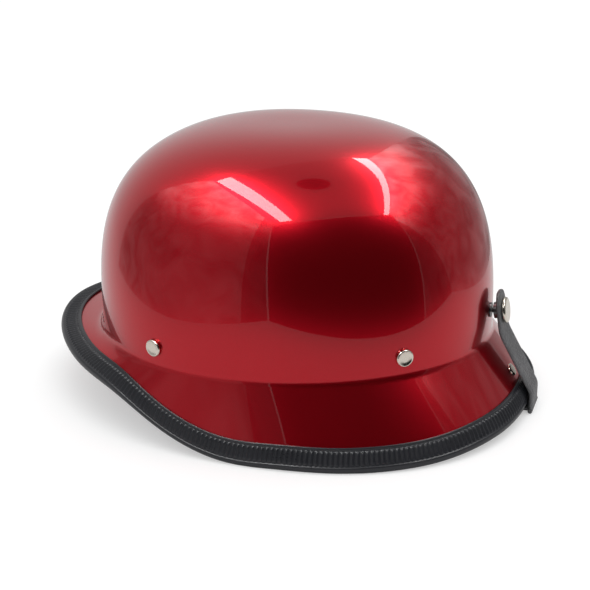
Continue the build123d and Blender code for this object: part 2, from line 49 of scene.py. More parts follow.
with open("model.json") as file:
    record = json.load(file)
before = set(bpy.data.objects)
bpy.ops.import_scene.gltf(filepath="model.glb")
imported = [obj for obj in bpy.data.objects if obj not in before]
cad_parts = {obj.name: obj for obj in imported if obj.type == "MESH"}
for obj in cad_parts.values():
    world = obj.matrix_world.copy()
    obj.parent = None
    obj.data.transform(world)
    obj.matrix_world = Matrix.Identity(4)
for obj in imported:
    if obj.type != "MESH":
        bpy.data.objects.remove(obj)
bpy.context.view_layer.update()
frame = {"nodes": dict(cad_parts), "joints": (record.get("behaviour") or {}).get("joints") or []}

MM = 0.001
JOINTS = {joint["name"]: joint for joint in frame["joints"]}


def metres(name, text, value):
    """Length property, written in millimetres and kept in metres."""
    return FloatProperty(name=name, description=text, default=value * MM, unit="LENGTH", precision=5)


def share(name, text, value):
    """Plain number property."""
    return FloatProperty(name=name, description=text, default=value)


def colour(name, text, value):
    """Colour property."""
    return FloatVectorProperty(name=name, description=text, default=value, subtype="COLOR", size=3,
                               min=0, max=1)


class HelmetShape(bpy.types.PropertyGroup):
    """Sizes of the shell and its trim."""

    bowl_length: metres("Bowl length", "Outside length of the bowl", 250)
    bowl_width: metres("Bowl width", "Outside width of the bowl", 216)
    bowl_middle: metres("Bowl middle", "How far the bowl's middle lies behind the origin", 3.6)
    bowl_lead: metres("Bowl lead", "How far the widest place lies ahead of the bowl's middle", 10)
    crown_height: metres("Crown height", "Top of the bowl above the table", 172.2)
    belt_height: metres("Belt height", "Where the upright wall starts to curve in", 52)
    crease_height: metres("Crease height", "Where the bowl meets the skirt", 44.6)
    wall: metres("Wall", "Thickness of the shell", 4)
    side_crease: metres("Side crease radius", "Hollow between bowl and skirt at the sides", 8)
    front_crease: metres("Front crease radius", "Hollow between bowl and visor", 12)
    front_fullness: share("Front fullness", "Exponent of the bowl's plan in front", 2.19)
    rear_fullness: share("Rear fullness", "Exponent of the bowl's plan behind", 2.03)
    crown_fullness: share("Crown fullness", "Exponent of the bowl's profile", 2.99)
    visor_reach: metres("Visor reach", "How far the trim stands out in front of the bowl", 37.3)
    side_reach: metres("Side reach", "How far the trim stands out beside the bowl", 18)
    nape_reach: metres("Nape reach", "How far the trim stands out behind the bowl", 27)
    visor_fullness: share("Visor fullness", "Exponent of the brim's plan in front", 1.91)
    nape_fullness: share("Nape fullness", "Exponent of the brim's plan behind", 2.32)
    brim_lag: metres("Brim lag", "How far the brim's widest place lies behind the bowl's middle", 2.6)
    visor_lift: metres("Visor lift", "Height of the visor's tip above the table", 35.8)
    rest_lead: metres("Rest lead", "Where the trim leaves the table, ahead of the bowl's middle", 4)
    nape_lift: metres("Nape lift", "Height of the trim above the table at the nape", 4.4)
    rest_cut: metres("Rest cut", "Depth of the flat on which the trim stands", 0.4)
    trim_wall: metres("Trim wall", "Wall of the edge trim", 1.7)
    trim_depth: metres("Trim depth", "Outer leg of the trim above the brim", 10.7)
    trim_leg: metres("Trim leg", "Inner leg of the trim above the brim", 6.9)
    rib_pitch: metres("Rib pitch", "Distance from rib to rib along the trim", 2.9)
    rib_rise: metres("Rib rise", "Height of the ribs", 0.95)
    rib_lean: share("Rib lean", "How far a rib's wave runs on from the middle to the edge, in radians", 1.5)


class HelmetFinish(bpy.types.PropertyGroup):
    """Colours of the finishes."""

    candy: colour("Candy red", "Colour of the shell's lacquer", (0.57, 0.003, 0.014))
    candy_deep: colour("Deep red", "Darker tone in the lacquer", (0.47, 0.002, 0.010))
    rubber: colour("Rubber", "Colour of the edge trim", (0.019, 0.02, 0.025))
    leather: colour("Leather", "Colour of the goggle strap", (0.12, 0.12, 0.126))
    nickel: colour("Nickel", "Colour of rivets and snaps", (0.86, 0.80, 0.70))
    steel: colour("Steel", "Colour of the rings", (0.62, 0.62, 0.63))
    webbing: colour("Webbing", "Colour of the straps", (0.018, 0.018, 0.02))
    foam: colour("Foam", "Colour of the liner", (0.022, 0.022, 0.024))
    cloth: colour("Cloth", "Colour of the pads", (0.03, 0.03, 0.033))


class HelmetParts(bpy.types.PropertyGroup):
    """Sizes of the straps, pads and small parts."""

    rivet_height: metres("Rivet height", "Strap rivets above the table", 56.4)
    rivet_head: metres("Rivet head", "Diameter of a strap rivet's head", 10.6)
    rivet_rise: metres("Rivet rise", "Height of a strap rivet's head", 2.2)
    rivet_shank: metres("Rivet shank", "Diameter of a strap rivet's shank", 4.8)
    rivet_depth: metres("Rivet depth", "Depth of a strap rivet's tail below the shell's face", 8.1)
    rivet_tail: metres("Rivet tail", "Diameter of a clinched tail", 7)
    tail_rise: metres("Tail rise", "Thickness of a clinched tail", 1.6)
    band_width: metres("Goggle strap width", "Width of the leather band", 22)
    band_wall: metres("Goggle strap thickness", "Thickness of the leather", 2.8)
    band_gap: metres("Goggle strap gap", "Room between the leather and the trim", 0.3)
    band_top: metres("Goggle strap top", "Top of the band above the table", 75.4)
    band_elbow: metres("Goggle strap elbow", "Height where the band leaves the bowl's slope", 50.5)
    elbow_bend: metres("Elbow bend", "Radius of the band's elbow", 20)
    band_turn: metres("Goggle strap turn", "Height where the band turns down to its fold", 13.4)
    turn_bend: metres("Turn bend", "Radius of the band's turn", 8)
    snap_height: metres("Snap height", "Middle of the press stud above the table", 62.5)
    snap_standoff: metres("Snap standoff", "Middle of the leather out from the bowl at the press stud", 6.9)
    snap_tilt: FloatProperty(name="Snap tilt", description="Lean of the press stud", default=np.radians(8),
                             unit="ROTATION")
    anchor_width: metres("Anchor width", "Width of the band's fixed end", 18)
    anchor_gap: metres("Anchor gap", "Room between the fixed end and the trim", 0.6)
    anchor_standoff: metres("Anchor standoff", "Room between the fixed end and the skirt", 0.5)
    anchor_lip: metres("Anchor lip", "How far the fixed end clears the trim's inner leg", 1)
    anchor_step: metres("Anchor step", "Where the fixed end meets the skirt, past the trim's leg", 4)
    anchor_reach: metres("Anchor reach", "Length of the fixed end along the skirt", 25)
    snap_head: metres("Snap cap", "Diameter of the snap's cap", 16)
    snap_rise: metres("Snap rise", "Height of the snap's cap", 2.6)
    snap_shank: metres("Snap shank", "Diameter of the snap's shank", 3.6)
    snap_burr: metres("Snap burr", "How far the snap's shank goes past the leather", 0.6)
    webbing_width: metres("Webbing width", "Width of the chin straps", 20)
    webbing_wall: metres("Webbing thickness", "Thickness of the chin straps", 2)
    tab_depth: metres("Tab depth", "Webbing below the shell's outer face", 4.9)
    tab_rise: metres("Tab rise", "Webbing above the strap rivet", 9)
    yoke_inset: metres("Yoke inset", "Distance of a stowed yoke's end from the middle line", 10)
    yoke_clearance: metres("Yoke clearance", "Stowed yoke's end above the table", 0.4)
    yoke_join: share("Yoke join", "Where the legs meet, as a share of the yoke's length", 0.62)
    tail_step: metres("Tail step", "Stem and tail beside the yoke's middle line", 24)
    fold_gap: metres("Fold gap", "Room between folded layers of webbing", 0.4)
    left_tail: metres("Left tail", "Length of the tail with the rings", 30)
    right_tail: metres("Right tail", "Length of the loose tail", 52)
    right_lap: metres("Right lap", "Length of the loose tail's doubled end", 42)
    ring_wire: metres("Ring wire", "Diameter of the D-rings' wire", 3.2)
    ring_half: metres("Ring half width", "Half of a D-ring's width", 12.5)
    ring_side: metres("Ring side", "Straight side of a D-ring", 2)
    ring_corner: metres("Ring corner", "Corner radius of a D-ring", 3)
    ring_step: metres("Ring step", "Upper ring's bar from the lower's, along and up", 4)
    ring_fit: metres("Ring fit", "Room between a ring's bar and its loop", 0.2)
    liner_wall: metres("Liner wall", "Thickness of the foam", 19.4)
    pad_gap: metres("Pad gap", "Room between a pad and the foam", 0.4)
    pad_edge: metres("Pad edge", "Thickness of a pad at its seam", 3.6)
    pad_crown: metres("Pad crown", "Thickness of a pad in its middle", 10)
    pad_low: metres("Pad bottom", "Lower edge of the pads above the table", 47)
    pad_high: metres("Pad top", "Upper edge of the pads above the table", 88)


class HelmetStage(bpy.types.PropertyGroup):
    """Camera and light."""

    azimuth: share("Azimuth", "Degrees round from the view along +Y", 110.0)
    elevation: share("Elevation", "Degrees above the horizon", 21.03)
    roll: share("Roll", "Degrees of camera roll", -1.25)
    lens: share("Lens", "Focal length on a 36 mm sensor", 76.16)
    distance: metres("Distance", "Camera to target", 800)
    floor_size: metres("Floor size", "Side of the floor", 12000)
    target: FloatVectorProperty(name="Target", description="Where the camera looks", size=3, unit="LENGTH",
                                precision=5, default=(0.00576, 0.00359, 0.05992))
    floor_tone: colour("Floor tone", "Colour of the floor", (0.62, 0.62, 0.62))
    floor_lift: share("Floor lift", "Extra white of the floor towards the camera", 0.4)
    backdrop: share("Backdrop", "Brightness of the backdrop in reflections", 0.6)
    room_light: share("Room light", "Strength of the even light", 1.0)
    tent_height: metres("Tent height", "Height of the studio tent seen in reflections", 500)
    overhead_size: metres("Overhead size", "Side of the lamp over the object", 1200)
    overhead_power: FloatProperty(name="Overhead power", description="Power of the lamp over the object",
                                  default=6.0, unit="POWER")
    lamp_light: share("Lamp light", "Brightness of the tent's lamps in reflections", 16.0)
    wall_light: share("Wall light", "Brightness of the tent's walls in reflections", 0.42)
    columns: IntProperty(name="Columns", description="Columns of the shell's surface", default=432)
    trim_columns: IntProperty(name="Trim columns", description="Columns of the trim's surface", default=2200)


# Arrays and meshes


def round_turn(count):
    """Even angles once round, from zero."""
    return np.linspace(0, 2 * np.pi, count, endpoint=False)


def unit(vectors):
    """Vectors of length one: each divided by its own length."""
    vectors = np.asarray(vectors, float)
    return vectors / np.linalg.norm(vectors, axis=-1, keepdims=True)


def power(value, exponent):
    """Signed power, so that a superellipse keeps its quadrants."""
    return np.sign(value) * np.abs(value) ** exponent


def run_along(path):
    """Length of a path up to each of its points: the sum of the steps before it."""
    return np.concatenate([[0], np.cumsum(np.linalg.norm(np.diff(path, axis=0), axis=1))])


def columns_at(at, run, table):
    """Columns of a table read off at given lengths of its run, straight from row to row."""
    return np.stack([np.interp(at, run, column) for column in table.T], -1)


def put_mesh(name, vertices, faces, uv=None):
    """Mesh object from an array of points and a list of face arrays, each with 3 or 4 columns."""
    mesh = bpy.data.meshes.new(name)
    loops = np.concatenate([face.ravel() for face in faces])
    sizes = np.concatenate([np.full(len(face), face.shape[1]) for face in faces])
    mesh.vertices.add(len(vertices))
    mesh.vertices.foreach_set("co", np.asarray(vertices, np.float32).ravel())
    mesh.loops.add(len(loops))
    mesh.loops.foreach_set("vertex_index", loops.astype(np.int32))
    mesh.polygons.add(len(sizes))
    mesh.polygons.foreach_set("loop_start", np.concatenate([[0], np.cumsum(sizes)[:-1]]).astype(np.int32))
    mesh.polygons.foreach_set("use_smooth", np.ones(len(sizes), bool))
    if uv is not None:
        layer = mesh.uv_layers.new(name="surface")
        layer.data.foreach_set("uv", np.asarray(uv, np.float32)[loops].ravel())
    mesh.update(calc_edges=True)
    mesh.validate()
    piece = bpy.data.objects.new(name, mesh)
    bpy.context.scene.collection.objects.link(piece)
    return piece


def volume(vertices, faces):
    """Signed volume inside a closed mesh: the sum of its tetrahedra to the origin."""
    total = 0.0
    for face in faces:
        for k in range(1, face.shape[1] - 1):
            a, b, c = vertices[face[:, 0]], vertices[face[:, k]], vertices[face[:, k + 1]]
            total += np.einsum("ij,ij->i", a, np.cross(b, c)).sum() / 6
    return total


def grid_piece(name, points, wrap_rows=False, first_pole=None, last_pole=None, uv=None):
    """Surface over a grid of points, rows by columns, with its open ends closed by fans to a pole.

    Faces join each point to its neighbours in the next row and column. The last column joins the first, and
    with wrap_rows the last row does too.
    """
    rows, columns = points.shape[:2]
    index = np.arange(rows * columns).reshape(rows, columns)
    down = np.concatenate([index, index[:1]]) if wrap_rows else index
    across = np.concatenate([down, down[:, :1]], axis=1)
    quads = np.stack([across[:-1, :-1], across[:-1, 1:], across[1:, 1:], across[1:, :-1]], -1).reshape(-1, 4)
    vertices = points.reshape(-1, 3)
    faces = [quads]
    coordinates = None if uv is None else uv.reshape(-1, 2)
    for row, pole, way in ((across[0], first_pole, 1), (across[-1], last_pole, -1)):
        if pole is None:
            continue
        tip = np.full(len(row) - 1, len(vertices))
        vertices = np.concatenate([vertices, np.asarray(pole, float)[None]])
        faces.append(np.stack([row[1:], row[:-1], tip][::way], -1))
        if uv is not None:
            coordinates = np.concatenate([coordinates, coordinates[row[:-1]].mean(0)[None]])
    if volume(vertices, faces) < 0:
        faces = [face[:, ::-1] for face in faces]
    return put_mesh(name, vertices, faces, coordinates)


def lathe(name, profile, origin, axis, steps=72):
    """Solid of revolution: a profile of (radius, rise) points turned about an axis through origin.

    A point is origin + rise times axis + radius times (cos turn times side + sin turn times up). The profile
    starts and ends on the axis.
    """
    axis, profile = unit(axis), np.asarray(profile, float)
    side = unit(np.cross(axis, (0.0, 0.0, 1.0) if abs(axis[2]) < 0.9 else (1.0, 0.0, 0.0)))
    turn = round_turn(steps)
    ring = np.cos(turn)[:, None] * side + np.sin(turn)[:, None] * np.cross(axis, side)
    body = profile[1:-1]
    points = origin + body[:, None, 1:] * axis + body[:, None, :1] * ring
    first, last = origin + profile[[0, -1], 1:] * axis
    uv = np.stack(np.broadcast_arrays(turn[None] * profile[:, 0].max(), body[:, 1:]), -1)
    return grid_piece(name, points, first_pole=first, last_pole=last, uv=uv)


# Sides of a band's section, of a wire's and of a rounded fold, and the step from row to row along a band
BAND_SIDES, WIRE_SIDES, FOLD_SIDES, BAND_STEP = 80, 20, 40, 1.2 * MM
# Powers of a band's section: across it, where it is nearly square, and through it
ACROSS_POWER, THROUGH_POWER = 0.35, 0.8


def fold_roll(name, joint, width, radius):
    """Rounded fold of a strap: a cylinder about the axis of the fold's joint, with its edges eased."""
    half, ease = width / 2, 0.4 * MM
    edge = [(radius - ease, half), (radius, half - ease)]
    profile = [(0, -half)] + [(reach, -rise) for reach, rise in edge] + edge[::-1] + [(0, half)]
    return lathe(name, profile, np.array(JOINTS[joint]["pos_m"]), JOINTS[joint]["axis"], FOLD_SIDES)


def rounded(near):
    """Height of a circle of radius one over the distance from its edge, which is one from its middle on."""
    return np.sqrt(1 - (1 - np.clip(near, 0, 1)) ** 2)


def band(name, path, across, width, thickness, step=BAND_STEP, round_start=False):
    """Flat band along a path: a rounded oblong section, carried along with its width direction.

    A point is path + u times half the width times across + v times half the thickness times the normal, where
    (u, v) runs round a superellipse. Both ends thin out as a circle does, and a round start narrows so too.
    """
    run = run_along(path)
    at = np.linspace(0, run[-1], max(int(run[-1] / step), 3) + 1)
    rows = columns_at(at, run, np.concatenate([path, np.broadcast_to(across, path.shape)], axis=1))
    centre, side = rows[:, :3], rows[:, 3:]
    along = unit(np.gradient(centre, axis=0))
    side = unit(side - np.einsum("ij,ij->i", side, along)[:, None] * along)
    turn = round_turn(BAND_SIDES)
    u, v = power(np.cos(turn), ACROSS_POWER), power(np.sin(turn), THROUGH_POWER)
    half = width / 2 * (rounded(at / (width / 2)) if round_start else np.ones(len(at)))
    rise = thickness / 2 * rounded(np.minimum(at, run[-1] - at) / (thickness / 2))
    sideways, outward = half[:, None] * side, rise[:, None] * np.cross(along, side)
    keep = slice(1, -1)
    points = centre[keep, None] + u[:, None] * sideways[keep, None] + v[:, None] * outward[keep, None]
    steps = np.hypot(np.diff(u, append=u[0]) * width / 2, np.diff(v, append=v[0]) * thickness / 2)
    uv = np.stack(np.broadcast_arrays(np.cumsum(steps)[None, :], at[keep, None]), -1)
    return grid_piece(name, points, first_pole=centre[0], last_pole=centre[-1], uv=uv)


def tube(name, path, radius):
    """Closed round wire: a circle of its radius carried along a flat closed path."""
    along = unit(np.roll(path, -1, axis=0) - np.roll(path, 1, axis=0))
    plane = np.broadcast_to(unit(np.cross(along[0], along[len(along) // 4])), along.shape)
    turn = round_turn(WIRE_SIDES)[:, None]
    ring = np.cos(turn) * plane[:, None] + np.sin(turn) * np.cross(along, plane)[:, None]
    return grid_piece(name, path[:, None] + radius * ring, wrap_rows=True)


# The shell's plan and section


def smooth_table(value, table):
    """Cubic curve through a table of pairs, level with the chord from one neighbour to the next."""
    x, y = np.array(table).T
    slope = np.gradient(y, x)
    slope[1:-1] = (y[2:] - y[:-2]) / (x[2:] - x[:-2])
    slope[0] = 0
    value = np.clip(value, x[0], x[-1])
    i = np.clip(np.searchsorted(x, value, side="left") - 1, 0, len(x) - 2)
    span = x[i + 1] - x[i]
    s = (value - x[i]) / span
    rise = (3 - 2 * s) * s * s * (y[i + 1] - y[i])
    return y[i] + rise + span * s * (1 - s) * ((1 - s) * slope[i] - s * slope[i + 1])


FRONT_LIFT_SHARES = [(0.0, 0.0), (0.094, 0.09), (0.275, 0.33), (0.467, 0.67), (0.72, 0.83), (1.0, 1.0)]
REAR_LIFT_SHARES = [(0.0, 0.0), (0.6, 0.0), (0.8, 0.35), (1.0, 1.0)]
HARMONICS = 14
WAVE_STEPS = 2048
RING_STEPS = 8192


def by_angle(x, y, values, angles):
    """Values round a ring as even functions of the angle from the front, with only the long waves kept."""
    at = np.mod(np.arctan2(x, -y), 2 * np.pi)
    order = np.argsort(at)
    steady = round_turn(WAVE_STEPS)
    turn = np.arange(1, HARMONICS + 1)[:, None] * angles[None]
    out = []
    for value in values:
        fine = np.interp(steady, at[order], value[order], period=2 * np.pi)
        waves = np.fft.rfft(fine)[: HARMONICS + 1].real / len(fine)
        out.append(waves[0] + 2 * (waves[1:, None] * np.cos(turn)).sum(0))
    return out


def egg(half_width, middle, reaches, fullnesses):
    """Closed plan of two half superellipses, front and rear, that share their width and their middle.

    A point is half_width times sin^(2/n) and middle less reach times cos^(2/n) of the turn from the front.
    """
    turn = round_turn(RING_STEPS)
    ahead = np.cos(turn) > 0
    exponent = 2 / np.where(ahead, *fullnesses)
    x = half_width * power(np.sin(turn), exponent)
    return x, middle - np.where(ahead, *reaches) * power(np.cos(turn), exponent)


def bowl_radius(shape, inset, angles):
    """Plan radius of the bowl by angle from the front, moved in by inset."""
    half, lead = shape.bowl_length / 2 - inset, shape.bowl_lead
    fullnesses = (shape.front_fullness, shape.rear_fullness)
    x, y = egg(shape.bowl_width / 2 - inset, -lead, (half - lead, half + lead), fullnesses)
    return by_angle(x, y, (np.hypot(x, y),), angles)[0]


class Section:
    """Radial sections of the helmet, by angle from the front.

    along runs down the skirt's slope, outward stands on it, and foot is the middle of the brim.
    """

    def __init__(self, shape, angles):
        self.shape = shape
        self.angles = angles
        self.middle = shape.bowl_middle
        self.rim = shape.trim_wall + shape.wall / 2
        self.rise = shape.crown_height - shape.belt_height
        self.brim_front = shape.bowl_length / 2 + shape.visor_reach - self.rim
        self.brim_rear = shape.bowl_length / 2 + shape.nape_reach - self.rim
        self.bowl = bowl_radius(shape, 0, angles)
        self.bowl_inside = bowl_radius(shape, shape.wall, angles)
        lag, fullnesses = shape.brim_lag, (shape.visor_fullness, shape.nape_fullness)
        x, y = egg(shape.bowl_width / 2 + shape.side_reach - self.rim, lag,
                   (self.brim_front + lag, self.brim_rear - lag), fullnesses)
        height = self.rim - shape.rest_cut + self.lift(y)
        self.brim, self.brim_height = by_angle(x, y, (np.hypot(x, y), height), angles)
        out, fall = self.brim - self.bowl, shape.crease_height - self.brim_height
        lean = np.arctan2(fall, out) - np.arcsin(shape.wall / 2 / np.hypot(out, fall))
        self.along = np.stack([np.cos(lean), -np.sin(lean)])
        self.outward = np.stack([np.sin(lean), np.cos(lean)])
        self.foot = np.stack([self.brim, self.brim_height])

    def lift(self, y):
        """Height of the trim's underside above the table at y from the bowl's middle."""
        lead = self.shape.rest_lead
        ahead = (-lead - y) / (self.brim_front - lead)
        front = self.shape.visor_lift * smooth_table(ahead, FRONT_LIFT_SHARES)
        rear = self.shape.nape_lift * smooth_table(y / self.brim_rear, REAR_LIFT_SHARES)
        return np.where(y < -lead, front, rear)

    def meridian(self, radius, rise, count):
        """Rows from the crown down to the belt: radius times cos^(2/q), rise times sin^(2/q) of one angle."""
        q = self.shape.crown_fullness
        even_share = np.linspace(0, 1, count + 1)[1:]
        swing = np.pi / 4 * (np.minimum(even_share, 1 - even_share) * 2) ** (q / 2)
        swing = np.where(even_share < 0.5, np.pi / 2 - swing, swing)
        shrink = np.cos(swing) ** (2 / q)
        height = self.shape.belt_height + rise * np.sin(swing) ** (2 / q)
        grid = np.broadcast_to(height[:, None], (count, len(radius)))
        return np.stack([shrink[:, None] * radius[None], grid], 1)

    def place(self, rows):
        """Points in space of a grid of radii and heights."""
        radius, height = rows[:, 0], rows[:, 1]
        x = radius * np.sin(self.angles)
        y = self.middle - radius * np.cos(self.angles)
        return np.stack([x, y, height], -1)


def line(start, end, count):
    """Evenly spaced rows from start, which is left out, to end."""
    t = np.linspace(0, 1, count + 1)[1:, None, None]
    return start[None] * (1 - t) + end[None] * t


CROWN_ROWS, INSIDE_ROWS, BELT_ROWS, HOLLOW_ROWS, SKIRT_ROWS, EDGE_ROWS, UNDER_ROWS = 84, 48, 4, 14, 16, 3, 8
# Most of the upright wall that the hollow may take
HOLLOW_PART = 0.95


def shell_rows(section):
    """Rows of the shell's closed wall: crown, upright wall, hollow, skirt and edge, then back up inside.

    The hollow is a curve of second degree from the wall to the skirt with its corner point at the crease.
    """
    shape = section.shape
    ahead = 0.5 + 0.5 * np.cos(section.angles)
    hollow = shape.side_crease + (shape.front_crease - shape.side_crease) * ahead**3
    turn = np.arccos(-section.along[1])
    reach = np.minimum(hollow * np.tan(turn / 2), HOLLOW_PART * (shape.belt_height - shape.crease_height))
    level = np.ones_like(reach)
    corner = np.stack([section.bowl, shape.crease_height * level])
    above = corner + np.stack([0 * reach, reach])
    below = corner + section.along * reach
    belt = np.stack([section.bowl, shape.belt_height * level])
    t = np.linspace(0, 1, HOLLOW_ROWS + 1)[1:, None, None]
    hollow_rows = above * (1 - t) ** 2 + 2 * corner * t * (1 - t) + below * t**2
    half = section.outward * shape.wall / 2
    top_edge, low_edge = section.foot + half, section.foot - half
    inner = section.bowl_inside
    inner_corner = low_edge - section.along * ((low_edge[0] - inner) / section.along[0])
    inner_corner[1] = np.minimum(inner_corner[1], shape.belt_height - shape.wall / 2)
    inside = section.meridian(inner, section.rise - shape.wall, INSIDE_ROWS)[::-1]
    return np.concatenate([
        section.meridian(section.bowl, section.rise, CROWN_ROWS),
        line(belt, above, BELT_ROWS),
        hollow_rows,
        line(below, top_edge, SKIRT_ROWS),
        line(top_edge, low_edge, EDGE_ROWS),
        line(low_edge, inner_corner, UNDER_ROWS),
        line(inner_corner, inside[0], EDGE_ROWS)[:-1],
        inside,
    ])


# The trim's lip and the groove under it: millimetres below the trim's top, and share of the lip's thickness
LIP = [(0.1, 0), (-0.1, 0.5), (0.15, 0.9), (0.6, 1), (1.2, 0.97), (1.6, 0.7), (1.9, 0.6)]
RIB_ROWS, BEAD_ROWS = 12, 13
# Parts of the trim's wall that the lip takes and of the lip that lies under the ribs, and the ribs' sharpness
LIP_PART, RIB_BASE, RIB_POWER = 0.85, 0.66, 1.4
# Room between the trim's pocket and the shell, and the slope that ends the trim's inner leg
POCKET_ROOM, LEG_SLOPE = 0.05 * MM, 0.8 * MM
# The ribbed band's ends, below the trim's top and below the brim's middle, and how fast the ribs rise there
RIB_TOP, RIB_LOW, RIB_FADE = 2.1 * MM, 0.2 * MM, 4
# Start of the bead, down from the brim's middle and as a part of its radius, and the angles of its round
BEAD_START, BEAD_PART, BEAD_ANGLES = 0.6 * MM, 0.88, np.radians((15, 165))


def trim_rows(section, run):
    """Rows of the trim's closed section, as (down the slope, outward) from the middle of the brim.

    The band between lip and bead is lifted by a power of a raised cosine across the ribs, which lean.
    """
    shape = section.shape
    rim, leg, top = section.rim, shape.trim_leg, -shape.trim_depth
    pocket = shape.wall / 2 + POCKET_ROOM
    lip = shape.trim_wall * LIP_PART
    outer = [(top + drop * MM, pocket + lip * part) for drop, part in LIP]
    ribbed = [(down, pocket + lip * RIB_BASE) for down in np.linspace(top + RIB_TOP, RIB_LOW, RIB_ROWS)]
    swing = np.linspace(*BEAD_ANGLES, BEAD_ROWS)
    bead = [(BEAD_START, rim * BEAD_PART)] + [(rim * np.sin(t), rim * np.cos(t)) for t in swing]
    inner = [(0, -rim), (-leg + LEG_SLOPE, -rim), (-leg, -pocket - lip / 2), (-leg, -pocket),
             (POCKET_ROOM, -pocket), (POCKET_ROOM, pocket)]
    table = np.array(outer + ribbed + bead + inner)
    down = np.repeat(table[:, :1], len(run), axis=1)
    out = np.repeat(table[:, 1:], len(run), axis=1)
    across = np.linspace(-1, 1, RIB_ROWS)[:, None]
    window = np.clip((1 - np.abs(across)) * RIB_FADE, 0, 1)
    ribs = shape.rib_rise * (0.5 + 0.5 * np.cos(run[None] + shape.rib_lean * across)) ** RIB_POWER
    out[len(outer):len(outer) + RIB_ROWS] += ribs * window
    radius = section.foot[0] + down * section.along[0] + out * section.outward[0]
    height = section.foot[1] + down * section.along[1] + out * section.outward[1]
    return np.stack([radius, np.maximum(height, 0)], 1)


def even_angles(shape, count):
    """Angles that cut the brim into equal lengths, and the brim's whole length."""
    fine = round_turn(WAVE_STEPS * 2)
    section = Section(shape, fine)
    points = section.place(section.foot[None])[0]
    run = run_along(np.concatenate([points, points[:1]]))
    wanted = np.linspace(0, run[-1], count, endpoint=False)
    return np.interp(wanted, run, np.append(fine, 2 * np.pi)), run[-1]


# Finishes


def material(name, **sockets):
    """New material with its Principled shader's constant sockets set."""
    finish = bpy.data.materials.new(name)
    finish.use_nodes = True
    shader = finish.node_tree.nodes["Principled BSDF"]
    for socket, value in sockets.items():
        label = socket.replace("_", " ").title().replace("Ior", "IOR")
        if hasattr(value, "__len__") and len(value) == 3:
            value = (*value, 1.0)
        shader.inputs[label].default_value = value
    return finish, finish.node_tree, shader


def node(tree, kind, inputs=None, **settings):
    """New node with its settings and its inputs, each a value or an output to link."""
    made = tree.nodes.new("ShaderNode" + kind)
    for key, value in settings.items():
        setattr(made, key, value)
    for key, value in (inputs or {}).items():
        socket = made.inputs[key]
        if isinstance(value, bpy.types.NodeSocket):
            tree.links.new(value, socket)
        else:
            socket.default_value = value
    return made


def group_ends(group, inputs):
    """Inputs with their defaults, the two outputs that every shared group has, and the nodes at its ends."""
    for name, default in inputs:
        socket = group.interface.new_socket(name=name, in_out="INPUT", socket_type="NodeSocketFloat")
        socket.default_value = default
    for name in ("Mask", "Height"):
        group.interface.new_socket(name=name, in_out="OUTPUT", socket_type="NodeSocketFloat")
    return group.nodes.new("NodeGroupInput"), group.nodes.new("NodeGroupOutput")


def grain_group():
    """Shared node group: fine noise over coarse noise, as a mask and as a height."""
    group = bpy.data.node_groups.new("grain", "ShaderNodeTree")
    start, end = group_ends(group, (("Scale", 200.0), ("Coarse", 12.0), ("Share", 0.5)))
    place = node(group, "TexCoord").outputs["Object"]
    fine = node(group, "TexNoise", {"Vector": place, "Scale": start.outputs["Scale"], "Detail": 3.0})
    coarse = node(group, "TexNoise", {"Vector": place, "Scale": start.outputs["Coarse"], "Detail": 4.0})
    both = node(group, "Mix", {0: start.outputs["Share"], 2: coarse.outputs["Fac"], 3: fine.outputs["Fac"]})
    spread = node(group, "MapRange", {"Value": both.outputs[0], "From Min": 0.3, "From Max": 0.7})
    group.links.new(spread.outputs["Result"], end.inputs["Mask"])
    group.links.new(fine.outputs["Fac"], end.inputs["Height"])
    return group


def weave_group():
    """Shared node group: plain weave over a ribbon's own run and girth, as a mask and as a height."""
    group = bpy.data.node_groups.new("weave", "ShaderNodeTree")
    start, end = group_ends(group, (("Pitch", 0.0012),))
    place = node(group, "UVMap", uv_map="surface").outputs["UV"]
    parts = node(group, "SeparateXYZ", {0: place})
    turns = []
    for axis in ("X", "Y"):
        cell = node(group, "Math", {0: parts.outputs[axis], 1: start.outputs["Pitch"]}, operation="DIVIDE")
        angle = node(group, "Math", {0: cell.outputs[0], 1: 2 * np.pi}, operation="MULTIPLY")
        turns.append(node(group, "Math", {0: angle.outputs[0]}, operation="SINE").outputs[0])
    both = node(group, "Math", {0: turns[0], 1: turns[1]}, operation="MULTIPLY")
    spread = node(group, "MapRange", {"Value": both.outputs[0], "From Min": -1.0, "From Max": 1.0})
    group.links.new(spread.outputs["Result"], end.inputs["Mask"])
    group.links.new(spread.outputs["Result"], end.inputs["Height"])
    return group


def shared(group, *settings):
    """Pattern from a shared node group with its settings in their order: its mask and its height."""
    def place_in(tree):
        made = tree.nodes.new("ShaderNodeGroup")
        made.node_tree = group
        for socket, value in zip(made.inputs, settings):
            socket.default_value = value
        return made.outputs["Mask"], made.outputs["Height"]
    return place_in


def cells(scale, feature):
    """Pattern of scattered cells: the distance to the nearest of them, as its mask and its height."""
    def place_in(tree):
        inputs = {"Vector": node(tree, "TexCoord").outputs["Object"], "Scale": scale}
        distance = node(tree, "TexVoronoi", inputs, feature=feature).outputs["Distance"]
        return distance, distance
    return place_in


